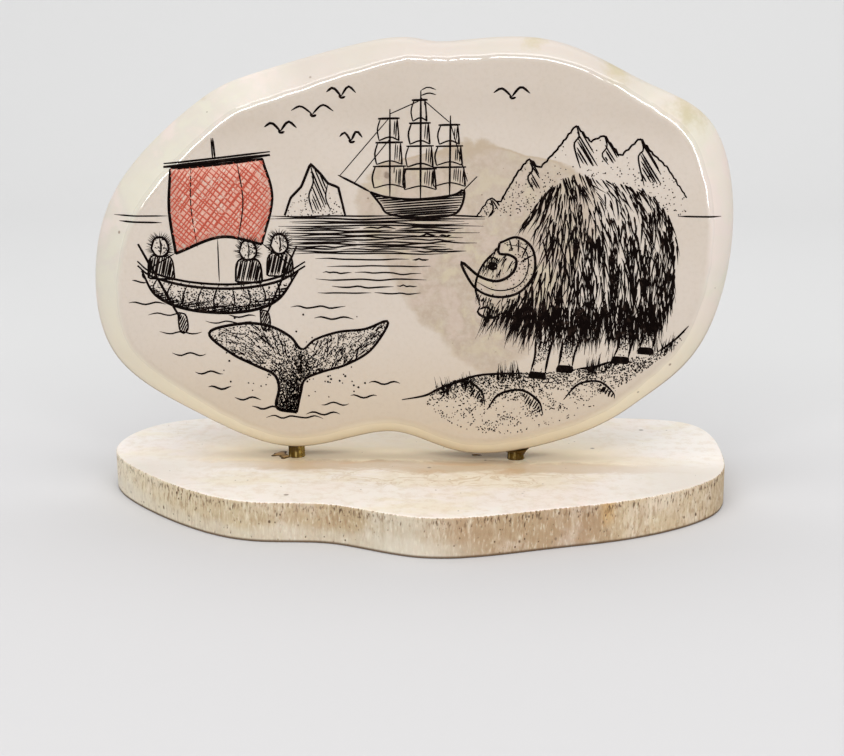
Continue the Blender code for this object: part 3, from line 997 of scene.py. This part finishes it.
OX = closed([(9, 26), (8.4, 28.6), (9.3, 31.2), (11.3, 33.6), (13.4, 34.9), (15.2, 37.4), (17.6, 40.6),
             (20.6, 42.4), (23.8, 41.6), (27.4, 40.8), (30.6, 39), (32.5, 35.6), (33, 31), (32.4, 26.4),
             (30.6, 23.6), (27, 22.4), (22.5, 21.6), (18, 21.4), (14.8, 22.2), (12.8, 24), (10.8, 24.4)])
HEAD = closed([(9, 26), (8.4, 28.6), (9.3, 31.2), (11.3, 33.6), (13.4, 34.4), (14.6, 32), (14, 29),
               (12.4, 26.4), (10.6, 24.6), (9.2, 24.8)])
HORN = closed([(11.4, 34), (13.6, 34.7), (15.5, 33.2), (15.7, 30.2), (13.9, 27.8), (11, 27.2), (8.3, 28.4),
               (6.6, 31.6), (8.9, 29.8), (11.2, 29.2), (13, 30.2), (13.5, 31.8), (12.6, 32.5),
               (11.3, 32.7)])
COAT_WAYS = [(17.5, 40.5, -120), (20.5, 42, -60), (24, 41.2, -42), (28, 40.3, -50), (31.6, 37, -78),
             (32.6, 31, -95), (15.2, 36.8, -130), (13.6, 33, -115), (17, 35, -100), (21, 36, -88),
             (26, 35, -80), (30, 33, -86), (15, 28, -102), (20, 28, -93), (26, 28, -88), (31, 27, -92),
             (13, 24, -108), (22, 22, -90), (28, 22, -88)]
coat = scattered(OX, 1500)
coat = coat[~inside(coat, HORN) & ~inside(coat, HEAD)]
saddle = np.exp(-((coat[:, 0] - 24.5) / 4.2) ** 2 - ((coat[:, 1] - 38.6) / 2.6) ** 2)
coat = coat[draw.uniform(0, 1, len(coat)) > 0.8 * saddle]
reach = draw.uniform(1.8, 4, len(coat)) * np.interp(coat[:, 1], [22, 27, 40], [0.55, 1.15, 0.75])
hairs = [combed(coat, COAT_WAYS, reach)]
back = OX[draw.integers(0, len(OX), 340)] + draw.normal(0, 0.15, (340, 2))
back = back[(back[:, 0] > 14.4) & (back[:, 1] > 24)]
hairs.append(combed(back, COAT_WAYS, draw.uniform(1.4, 2.6, len(back))))
skirt = np.column_stack([draw.uniform(13.4, 32, 190), draw.uniform(24, 26.4, 190)])
hairs.append(combed(skirt, COAT_WAYS, draw.uniform(2.6, 4.8, 190)))
hairs = np.concatenate(hairs)
hairs = hairs[~inside(hairs, HORN).any(axis=1) & ~inside(hairs[:, 3:], HEAD).any(axis=1)]
ox = tufts(hairs, 0.13, 0.27)
muzzle = scattered(HEAD, 230)
muzzle = combed(muzzle, [(9, 27, -100), (12, 33, -130), (13, 27, -112), (10, 31, -112)],
                draw.uniform(0.6, 1.4, len(muzzle)))
ox += tufts(muzzle[~inside(muzzle, HORN).any(axis=1)], 0.10, 0.16)
beard = np.column_stack([draw.uniform(9.6, 14.4, 60), draw.uniform(24.4, 26.2, 60)])
ox += tufts(combed(beard, [(10, 24, -104), (14, 22, -112)], draw.uniform(1.4, 3.2, 60)), 0.12, 0.2)
ox += lines(0.28, [(9, 26), (8.4, 28.6), (9.3, 31.2), (11.3, 33.4)],
            [(9, 26), (8.7, 25.2), (9.6, 24.6), (10.8, 24.6), (11.8, 25.2)])
ox += pens([curve([(8.9, 25.6), (9.7, 25.9), (10.4, 25.5)]), curve([(9.1, 26.6), (9.5, 27)], 6)], 0.24)
ox += pens([HORN[:60], HORN[59:]], 0.28, 0.9)
ox += lines(0.13,
            [(12.4, 33.8), (14.4, 33.3), (15, 31.4), (14.4, 29.3), (12.8, 28.2), (10.6, 28.1), (8.4, 29.2)])
ox += lines(0.16, [(12.6, 34.4), (13, 33)], [(13.8, 34.4), (13.7, 32.8)], [(14.9, 33.8), (14.2, 32.2)],
            [(15.4, 32.4), (14, 31.6)], count=8)
EYE = closed([(9.9, 31), (10.5, 31.5), (11.1, 31.1), (10.6, 30.6)], 16)
ox += pens([EYE, EYE * 0.6 + EYE.mean(0) * 0.4, EYE * 0.25 + EYE.mean(0) * 0.75], 0.24, 0.9)
ox += lines(0.18, [(9.5, 31.7), (10.5, 32.2), (11.4, 31.7)])
ox_dots = [stippled(HORN, 420, lambda x, z: np.clip(0.2 + 0.8 * (x - 12.2) / 3, 0.04, 0.7), 0.08)]
LEGS = [[(16, 22), (15.9, 19.6), (15.4, 17.6), (17.2, 17.4), (17.6, 19.6), (18.2, 22)],
        [(19.4, 22), (19.2, 20), (18.9, 18.4), (20.6, 18.3), (20.9, 20), (21.6, 22)],
        [(26.2, 23), (26.4, 21.2), (25.8, 19.6), (27.6, 19.5), (28, 21.2), (28.8, 23.2)],
        [(29.2, 23.4), (29.3, 22), (29, 20.8), (30.6, 20.7), (30.9, 22.2), (31.2, 23.8)]]
for leg in LEGS:
    leg = np.array(leg)
    hoof = np.array([leg[2], leg[3], leg[3] + (0.1, -0.75), leg[2] + (-0.35, -0.7), leg[2]])
    ox += lines(0.24, leg[:3], leg[3:]) + pens([hoof], 0.2, 0.9)
    ox += pens(hatch(hoof, 78, 0.17, 0.02), 0.2, 0.8)
    foot = leg[:, 1].min()
    ox_dots.append(stippled(leg, 260, lambda x, z: np.clip((z - foot) / 4 + 0.1, 0, 1), 0.08))
black = ink_material("black_ink", BLACK_INK, BLACK_INK_WORN)
engraved("musk_ox", ox, ox_dots, black)


# ---------------------------------------------------------------------------------------------
# Sail, in red ink over two sets of crossed cuts, with its own black edge, yard and mast. It is
# the only colour on the face besides black.

RED_INK = (0.50, 0.10, 0.065, 1)
RED_INK_WORN = (0.62, 0.30, 0.23, 1)
draw = np.random.default_rng(7)
SAIL_CORNERS = [(-29.6, 43.2), (-18, 44.4), (-18.4, 33.8), (-29.4, 32.6), (-29.6, 43.2)]
SAIL_BOWS = [(-24, 43.7), (-16.9, 39.6), (-23.6, 34.7), (-30, 38)]
SAIL = np.vstack([curve(side, 24) for side in zip(SAIL_CORNERS, SAIL_BOWS, SAIL_CORNERS[1:])])
reds = pens(hatch(SAIL, 52, 0.46, 0.11) + hatch(SAIL, -41, 0.58, 0.11), 0.155, 0.3)
engraved("sail_hatching", reds, [], ink_material("red_ink", RED_INK, RED_INK_WORN, 0.9))


# ---------------------------------------------------------------------------------------------
# Sail's wash. The red ink also stained the ivory between the cuts a pale salmon: one flat body
# within the sail's edge, let into the face a little less proud than the cuts.

WASH_PROUD = 0.005
WASH_DEPTH = 0.06
WASH_COLOUR = (0.60, 0.315, 0.245, 1)
WASH_PALE_COLOUR = (0.60, 0.455, 0.38, 1)
edge = even_ring(SAIL, 160)
middle = edge.mean(axis=0)
share = np.array([0.985, 0.6, 0.03])[:, None, None]
flat = middle + (edge - middle) * share
front = np.insert(flat, 1, FACE_Y / MM - WASH_PROUD, axis=2)
places, faces = capped_grid(np.concatenate([front[::-1], front + (0, WASH_DEPTH, 0)]) * MM)
wash = mesh_piece("sail_wash", places, faces)
wash.data.materials.append(ink_material("red_wash", WASH_COLOUR, WASH_PALE_COLOUR, 1.0))
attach(wash, "root")


# ---------------------------------------------------------------------------------------------
# Skin boat under the sail, with three paddlers seen from behind. Cut and inked like the ox; the
# hull is shaded by dots and its frames show through the skin as curved cuts.

GUNWALE = curve([(-34.4, 31.6), (-32.6, 30.2), (-28, 29), (-22, 28.7), (-16.6, 29.6), (-13, 31.6)], 60)
KEEL = curve([(-33.9, 30.4), (-32.2, 27.2), (-28, 25.4), (-21.6, 25.1), (-16.8, 26.6), (-13.9, 30.4)], 60)
BOAT = np.vstack([GUNWALE, KEEL[::-1]])
boat = pens([GUNWALE, KEEL, GUNWALE + (0, -0.55)], 0.3, 0.6)
boat += pens([SAIL[:50], SAIL[48:]], 0.3, 0.9)
boat += lines(0.36, [(-30.6, 43.4), (-24, 44.1), (-17, 44.9)], ends=0.6)
boat += lines(0.2, [(-30.6, 43.8), (-24, 44.5), (-17, 45.3)], ends=0.6)
boat += lines(0.2, [(-24.2, 44.4), (-24.3, 47)], [(-23.9, 44.4), (-24.1, 47)], count=8)
boat += lines(0.12, [(-27, 43.6), (-27.2, 38.4), (-26.6, 33.4)],
              [(-21.2, 44.1), (-20.6, 39.2), (-21.4, 34.3)])
boat += lines(0.15, [(-24, 34.4), (-24, 29)], [(-29.4, 32.7), (-33, 30.6)], [(-18.4, 33.9), (-14.4, 30.8)])
for k in range(3, 57, 5):
    rail, bottom = GUNWALE[k] + (0, -0.5), KEEL[k]
    bulge = (rail + bottom) / 2 + ((-0.35, 0) if k < 30 else (0.35, 0))
    boat += lines(0.17, [rail, bulge, bottom])
boat += pens(hatch(np.vstack([KEEL[6:54], KEEL[6:54][::-1] + (0, 1)]), 8, 0.28, 0.05), 0.14)
boat_dots = [stippled(BOAT, 3400, lambda x, z: np.clip(1 - 0.26 * (z - 25.2), 0.06, 0.95), 0.085)]
CREW = []
for x, z in ((-31.4, 30.6), (-16.2, 31), (-20.2, 30.2)):
    hood = closed([(x - 1.1, z + 2.6), (x - 0.6, z + 3.9), (x + 0.6, z + 3.9), (x + 1.1, z + 2.6),
                   (x + 0.5, z + 1.7), (x - 0.5, z + 1.7)], 44)
    coat = np.vstack([curve([(x - 0.7, z + 1.9), (x - 1.5, z + 1.1), (x - 1.7, z - 1.2)], 16),
                      curve([(x + 1.7, z - 1.3), (x + 1.5, z + 1.1), (x + 0.7, z + 1.9)], 16)])
    CREW += [hood, coat]
    boat += pens([hood, coat], 0.22, 0.8) + pens(hatch(coat, 76, 0.28, 0.04), 0.19)
    boat += lines(0.18, [(x, z + 3.9), (x + 0.15, z + 2.8), (x, z + 1.8)])
    boat_dots.append(stippled(hood, 120, lambda u, v: 0.25 + 0.5 * (u > x), 0.08))
    fluff = [(x - 1, z + 3.6, 140), (x + 1, z + 3.6, 40), (x - 1, z + 2, 200), (x + 1, z + 2, -20)]
    boat += tufts(combed(hood, fluff, 0.75), 0.1, 0.15)
boat += lines(0.26, [(-34.2, 33.8), (-29.2, 24.2)], [(-14, 33.6), (-18.2, 24.6)], ends=0.8)
for x, z in ((-29, 23.8), (-18.4, 24.2)):
    blade = closed([(x - 0.5, z + 1.2), (x + 0.5, z + 0.9), (x + 0.7, z - 0.9), (x, z - 1.5),
                    (x - 0.4, z - 0.8)], 30)
    boat += pens([blade], 0.22, 0.9) + pens(hatch(blade, 64, 0.26, 0.02), 0.16)
engraved("skin_boat", boat, boat_dots, black)


# ---------------------------------------------------------------------------------------------
# Three-masted ship on the horizon. Finer cuts than the boat's: square sails with a few cuts of
# shade at their lee side, stays from mast to mast.

draw = np.random.default_rng(19)
HULL = closed([(-4.6, 40.3), (-3.4, 38.8), (-2.4, 37.6), (1, 37.2), (5.2, 37.4), (6.6, 38.4), (7, 40.6),
               (5.6, 39.9), (1, 39.4), (-2.6, 39.7)], 90)
ship = pens([HULL], 0.26, 0.9) + pens(hatch(HULL, 4, 0.29, 0.03), 0.19, 0.5)
for x, base, top, count in ((-2.2, 39.6, 50.4, 3), (1.6, 39.4, 52.6, 4), (5.2, 39.8, 49.6, 3)):
    ship += lines(0.22, [(x, base), (x + 0.15, top)], ends=0.5)
    levels = np.linspace(base + 1.2, top - 0.9, count + 1)
    for k in range(count):
        low, high, half = levels[k], levels[k + 1] - 0.25, 1.95 - 0.36 * k
        luff = curve([(x - half, low), (x - half - 0.2, (low + high) / 2), (x - half + 0.2, high)], 14)
        lee = curve([(x + half - 0.2, high), (x + half - 0.1, (low + high) / 2), (x + half, low)], 14)
        foot = curve([(x + half, low), (x + 0.1, low + 0.45), (x - half, low)], 14)
        ship += pens([luff, lee, foot], 0.17, 0.7)
        ship += lines(0.22, [(x - half - 0.1, high), (x + half + 0.1, high + 0.05)], ends=0.7, count=12)
        canvas = np.vstack([lee, foot[foot[:, 0] > x + 0.4], [(x + 0.6, high)]])
        ship += pens(hatch(canvas, 86, 0.27, 0.02), 0.12)
ship += lines(0.22, [(-4.4, 40.2), (-6.6, 41.4), (-8.6, 42.4)])
STAYS = [(-8.4, 42.3, -2.1, 49.4), (-6.6, 41.4, -2.1, 46.8), (-2.1, 49.8, 1.6, 51.4),
         (1.7, 51.8, 5.2, 48.8), (5.3, 48.8, 7.4, 41.6), (7, 40.6, 8.6, 42.2)]
ship += lines(0.11, *([stay[:2], stay[2:]] for stay in STAYS), ends=0.8, count=24)
ship += lines(0.15, [(1.75, 52.6), (2.6, 53), (3.6, 52.7)], [(1.75, 52), (2.7, 52.3), (3.6, 52.1)])
engraved("tall_ship", ship, [], black)


# ---------------------------------------------------------------------------------------------
# Mountains behind the ox and an iceberg by the ship: single outlines, hatched on the side away
# from the light, with loose dots for scree.

draw = np.random.default_rng(5)
RIDGE = np.array([(8.6, 37.4), (10.2, 39.6), (11.4, 39), (13.6, 42.8), (15, 44.4), (16.2, 43.2), (18, 45),
                  (20.6, 48.4), (22.4, 46.4), (24, 47.2), (26, 44.6), (28.4, 46.8), (30, 44.8),
                  (31.6, 43.4), (34.2, 39.6)])
ridge = evenly(RIDGE, 160)
ridge[:, 1] += 0.12 * np.sin(np.arange(160) * 1.7) + draw.normal(0, 0.05, 160)
land = pens(behind([ridge], [OX]), 0.25, 0.7)
for peak, foot_x, foot_z in ((4, 16.4, 40.4), (7, 23.4, 43.2), (9, 25.4, 43.6), (11, 31.6, 41),
                             (1, 11.4, 38)):
    top = RIDGE[peak]
    facet = np.array([top, RIDGE[peak + 1], (foot_x, foot_z), top * (1, 0) + (0.2, foot_z + 0.6)])
    spur = curve([top, top + (0.4, -1.4), top + (-0.2, -2.4), (top[0] + 0.6, foot_z)])
    land += pens(behind(hatch(facet, -58, 0.36, 0.07) + [spur], [OX]), 0.17)
BERG = np.array([(-15.4, 37.4), (-14.6, 39.6), (-13.2, 41), (-12, 43.8), (-10.8, 42.6), (-9.9, 41.4),
                 (-8.6, 40.9), (-7.8, 37.4)])
land += pens([BERG], 0.25, 0.8)
land += lines(0.18, [BERG[3], (-11.7, 41.6), (-12.3, 39.8), (-11.8, 37.6)],
              [BERG[5], (-10.2, 39.6), (-9.6, 38)])
land += pens(hatch(np.vstack([BERG[3:6], [(-10.2, 38.2), (-11.9, 37.8)]]), -68, 0.36, 0.05), 0.15)
scree = np.vstack([ridge[::4], [(34.2, 37.4), (8.6, 37.4)]])
scree_dots = stippled(scree, 1900, lambda x, z: np.clip(0.6 - 0.09 * (z - 38), 0.04, 0.6), 0.08)
scree_dots = scree_dots[~inside(scree_dots[:, :2], OX)]
berg_dots = stippled(BERG, 220, lambda x, z: np.clip(0.7 - 0.2 * (z - 37.5), 0.03, 0.6), 0.08)
engraved("mountains", land, [scree_dots, berg_dots], black)


# ---------------------------------------------------------------------------------------------
# Shore the ox stands on: a line of turf with tufts, boulders shaded on one side, and dots that
# thin out towards the slice's lower edge.

draw = np.random.default_rng(23)
SHORE = closed([(3.4, 15.6), (8, 17), (13, 17.4), (19, 17.7), (25, 18.9), (31, 20.4), (35, 23.2),
                (33.5, 21), (28.5, 17), (22, 12.4), (14, 9.6), (8, 9.8), (4, 11.6), (2.2, 13.4)])


def turf(x, z):
    """Dense under the turf line and where two slow waves agree, sparse below."""
    below = z - 16.6 - 0.12 * (x - 12)
    patch = 0.24 * np.sin(1.1 * x) * np.sin(1.9 * z + 0.4 * x)
    return np.clip(0.12 + 0.8 * np.exp(-(below / 1.7) ** 2) + patch, 0.03, 0.9)


shore_dots = [stippled(SHORE, 7600, turf, 0.085)]
clumps = np.repeat([4.6, 7.4, 11.6, 13.4, 23.2, 24.4, 32.2], 17) + draw.normal(0, 0.55, 119)
clumps = np.column_stack([clumps, np.interp(clumps, [3, 13, 19, 25, 33], [14.8, 17.1, 17.2, 18.3, 21])])
clumps[:, 1] -= draw.uniform(0, 0.8, 119)
blades = combed(clumps, [(-2, 20, 108), (12, 22, 92), (30, 26, 76)], draw.uniform(1, 2.4, 119))
shore = tufts(blades, 0.1, 0.18)
for boulder in ([(4, 14), (5.4, 15.9), (7.6, 16.2), (9.2, 14.9), (9.6, 13.2)],
                [(9.9, 12.6), (11.4, 14.6), (14.2, 15.2), (16.4, 13.8), (17, 12)],
                [(19.6, 14), (21.4, 16), (24, 16.4), (25.8, 15), (26, 14.2)]):
    rock = np.array(boulder)
    dark = np.array([rock[2], rock[3], rock[4], rock[[2, 4]].mean(axis=0) - (0.9, 0.4)])
    shore += lines(0.27, rock) + pens(hatch(dark, 62, 0.36, 0.05), 0.18)
shore += lines(0.25, [(-1, 13.8), (2, 14.4), (4, 15.4), (8, 16.9), (11, 17.3), (14.8, 17.4)],
               [(21.2, 18), (23.4, 18.3), (25.4, 19)], [(31.2, 20.2), (33.4, 21.9), (35, 23.6)])
engraved("shore", shore, shore_dots, black)


# ---------------------------------------------------------------------------------------------
# Whale's flukes in the foreground. They are shaded by dots, darkest along the stock, under a few
# short scars, and stand among rings and drops of water.

draw = np.random.default_rng(29)
FLUKES = closed([(-14.6, 12), (-14, 14.6), (-13.4, 16.4), (-11.2, 17.4), (-8, 18.4), (-4.8, 20.4),
                 (-2.6, 24), (-5.6, 23), (-9, 22.6), (-12, 21.6), (-13.7, 20.3), (-15.2, 22), (-18, 23.4),
                 (-21.6, 23.6), (-25.6, 22.4), (-22.9, 19.8), (-19.8, 18.2), (-17.4, 17), (-16.8, 15.2),
                 (-17.2, 12.6)], 200)
whale = pens([FLUKES[:100], FLUKES[99:]], 0.32, 0.9)


def ripples(places, rise, pace):
    """Level strokes from places, each with its length, along z + rise * sin(pace * x)."""
    runs = [(np.linspace(x, x + long, 8), z) for x, z, long in places]
    return [curve(np.column_stack([xs, z + rise * np.sin(pace * xs)])) for xs, z in runs]


def wet(x, z):
    """Dark on the stock and along the lobes' lower edges, pale across their middles."""
    return np.clip(1.1 - 0.13 * np.abs(x + 14.2) - 0.12 * (z - 14), 0.14, 1.0)


whale_dots = [stippled(FLUKES, 13000, wet, 0.085)]
scars = combed(scattered(FLUKES, 330), [(-14, 13, 92), (-12, 18, 30), (-5, 22, 40), (-17, 18, 150),
                                       (-23, 22, 165), (-14, 20, 90)], draw.uniform(0.7, 1.8, 330))
whale += tufts(scars[inside(scars, FLUKES).all(axis=1)], 0.1, 0.19)
x, z = draw.normal(-14.5, 5.5, 130), draw.normal(17, 3, 130)
drops = np.column_stack([x, z, draw.uniform(0.07, 0.17, 130)])
whale_dots.append(drops[~inside(drops, FLUKES) & (z > 13.5 + 0.02 * (x + 14) ** 2) & (z < 25)])
RINGS = [(-20.4, 12.6, 4.6), (-13.4, 11.9, 4.4), (-18.6, 11.4, 7.4), (-22.6, 13.8, 3.4), (-11.4, 13.2, 3.6),
         (-26, 15.2, 3), (-7.6, 14.2, 3.4), (-5.2, 16, 4), (-27.6, 17.2, 3.6), (-30.5, 19.6, 4.4)]
whale += pens(ripples(RINGS, 0.2, 2.4), 0.2, 0.2)
engraved("whale_flukes", whale, whale_dots, black)


# ---------------------------------------------------------------------------------------------
# Sea: a band of long level cuts under the horizon, looser ripples nearer, and gulls above. The
# cuts stop where the boat, the ship, the ox or the flukes stand before them.

draw = np.random.default_rng(31)
water = []
for k, z in enumerate(np.concatenate([np.linspace(37.3, 32.6, 17), np.linspace(31.9, 27.6, 6)])):
    ends = np.array([-17.5, 9.6] if k < 17 else [-12.5, 4]) + draw.uniform(0, 1, 2) * (3, -5) * (k > 1)
    stops = np.sort(np.concatenate([ends, draw.uniform(*ends, draw.integers(0, 3) if k > 1 else 0)]))
    for first, last in zip(stops[:-1], stops[1:]):
        if last - first > 1.5:
            xs = np.linspace(first, last - 0.4 * (len(stops) > 2), 8)
            water.append(curve(np.column_stack([xs, z + draw.normal(0, 0.07, 8)])))
water += [curve([(-37.6, 37.3), (-30.2, 37.35)]), curve([(-36.8, 36.6), (-31, 36.5)]),
          curve([(33.2, 37.3), (38.6, 37.2)])]
water += ripples([(-35.8, 26.2, 4.8), (-33.4, 24.8, 5), (-26, 23.8, 6), (-15, 25.8, 7), (-12, 24.4, 5),
                  (-23, 24.6, 3.5), (-32, 22.4, 5.5), (-35.2, 29, 2.2)], 0.16, 2.1)
sea = pens(behind(water, [OX, SAIL, BOAT, HULL, HORN, FLUKES, *CREW]), 0.18, 0.2)
for x, z, span in ((-11.6, 49.8, 2.6), (-8, 52, 1.8), (-15.6, 47.8, 2), (12.8, 51.8, 2.2),
                   (-6.9, 46.6, 1.4)):
    sea += lines(0.24, [(x - span, z + 0.5), (x - 0.55 * span, z + 1), (x - 0.1, z + 0.1), (x, z)],
                 [(x, z), (x + 0.1, z + 0.15), (x + 0.5 * span, z + 1.15), (x + span, z + 0.4)],
                 [(x - 0.3, z + 0.1), (x, z - 0.2), (x + 0.5, z - 0.05)], ends=0.3)
engraved("sea_and_gulls", sea, [], black)


# ---------------------------------------------------------------------------------------------
# Stage. A pale sheet of paper that lies under the piece and curves up behind it, soft lamps round
# the camera and overhead, and the camera.

SHEET_HALF_WIDTH = 1.7
SHEET_FRONT, SHEET_BEND, SHEET_RADIUS, SHEET_TOP = -1.4, 0.30, 0.35, 1.6
SHEET_NEAR = (0.58, 0.575, 0.58, 1)
# The backdrop's lighter colour is painted light.
SHEET_FAR_PAINTED_LIGHT = (0.63, 0.63, 0.63, 1)


def sheet():
    """A floor that turns up into a backdrop along a quarter circle."""
    bend = np.linspace(0, np.pi / 2, 32)
    y = [SHEET_FRONT, *(SHEET_BEND + SHEET_RADIUS * np.sin(bend)), SHEET_BEND + SHEET_RADIUS]
    z = [0.0, *(SHEET_RADIUS * (1 - np.cos(bend))), SHEET_TOP]
    y, z = np.repeat(y, 2), np.repeat(z, 2)
    places = np.column_stack([SHEET_HALF_WIDTH * (-1.0) ** np.arange(1, len(y) + 1), y, z])
    return mesh_piece("studio_sheet", places, np.arange(0, len(y) - 2, 2)[:, None] + np.array([0, 1, 3, 2]))


def paper_material():
    """Matt pale paper, painted a little lighter behind the piece: painted light that evens it out with the
    floor, which the overhead lamps light more.
    """
    material, where = new_material("studio_paper")
    depth = split(where)[1]
    return shaded(material, {"Base Color": painted(SHEET_NEAR, (depth.step(0.0, 0.10), SHEET_FAR_PAINTED_LIGHT)),
                             "Roughness": 0.8})


floor = sheet()
floor.data.materials.append(paper_material())


def placed(name, data, place, columns):
    """An object of the scene at a place, turned so that its axes are three given directions."""
    thing = bpy.data.objects.new(name, data)
    bpy.context.scene.collection.objects.link(thing)
    thing.matrix_world = Matrix.Translation(place) @ Matrix(columns).transposed().to_4x4()
    return thing


def lamp(name, way, reach, width, height, radiance):
    """A soft rectangular lamp that faces the piece from a way; its width lies level or round it.

    Its power is pi times its area times its radiance.
    """
    way = Vector(way).normalized()
    light = bpy.data.lights.new(name, "AREA")
    light.shape = "RECTANGLE"
    light.size, light.size_y, light.energy = width, height, np.pi * width * height * radiance
    outward = Vector((way.x, 0.0, way.z)).normalized() if abs(way.z) < 0.95 else Vector((0, 1, 0))
    side = outward.cross(way).normalized()
    placed(name, light, way * reach + LAMP_AIM, (side, way.cross(side), way))


# Strip lamps stand in an arch round the camera. The slice's rounded shoulder mirrors them as a
# thin bright line with two short gaps.
LAMP_AIM = Vector((0, 0, 32 * MM))
ARCH_LEAN = np.radians(38)
ARCH_REACH = 0.85
ARCH_STRIP = 0.11
ARCH_RADIANCE = 8.0
ARCH_OVERLAP = 1.02
ARCH_SPANS = [(-8, 56.6, 4), (59, 95.8, 3), (98.4, 168, 5)]
arch_radius = ARCH_REACH * np.sin(ARCH_LEAN)
for first, last, count in ARCH_SPANS:
    step = (last - first) / count
    for k in range(count):
        turn = np.radians(first + (k + 0.5) * step)
        way = (np.sin(ARCH_LEAN) * np.cos(turn), -np.cos(ARCH_LEAN), np.sin(ARCH_LEAN) * np.sin(turn))
        lamp(f"arch_{first}_{k}", way, ARCH_REACH, ARCH_OVERLAP * np.radians(step) * arch_radius,
             ARCH_STRIP, ARCH_RADIANCE)
lamp("overhead_front", (0.0, -0.36, 1.0), reach=1.0, width=1.3, height=0.42, radiance=2.8)
lamp("overhead_back", (0.0, 0.50, 1.0), reach=1.0, width=1.6, height=0.42, radiance=1.6)

world = bpy.data.worlds.new("studio")
world.use_nodes = True
sky = world.node_tree.nodes["Background"].inputs
sky["Color"].default_value = (1, 1, 1, 1)
sky["Strength"].default_value = 0.50
bpy.context.scene.world = world
bpy.context.scene.view_settings.view_transform = "Standard"

CAMERA_PLACE = Vector((13.61, -179.34, 59.10)) * MM
CAMERA_LOOK = Vector((-0.0658, 0.9704, -0.2325)).normalized()
CAMERA_SIDE = Vector((0.9978, 0.0658, -0.0080))
camera = bpy.data.cameras.new("camera")
camera.lens, camera.sensor_width, camera.clip_start = 61.1, 36.0, 0.01
side = (CAMERA_SIDE - CAMERA_LOOK * CAMERA_SIDE.dot(CAMERA_LOOK)).normalized()
bpy.context.scene.camera = placed("camera", camera, CAMERA_PLACE,
                                  (side, side.cross(CAMERA_LOOK), -CAMERA_LOOK))
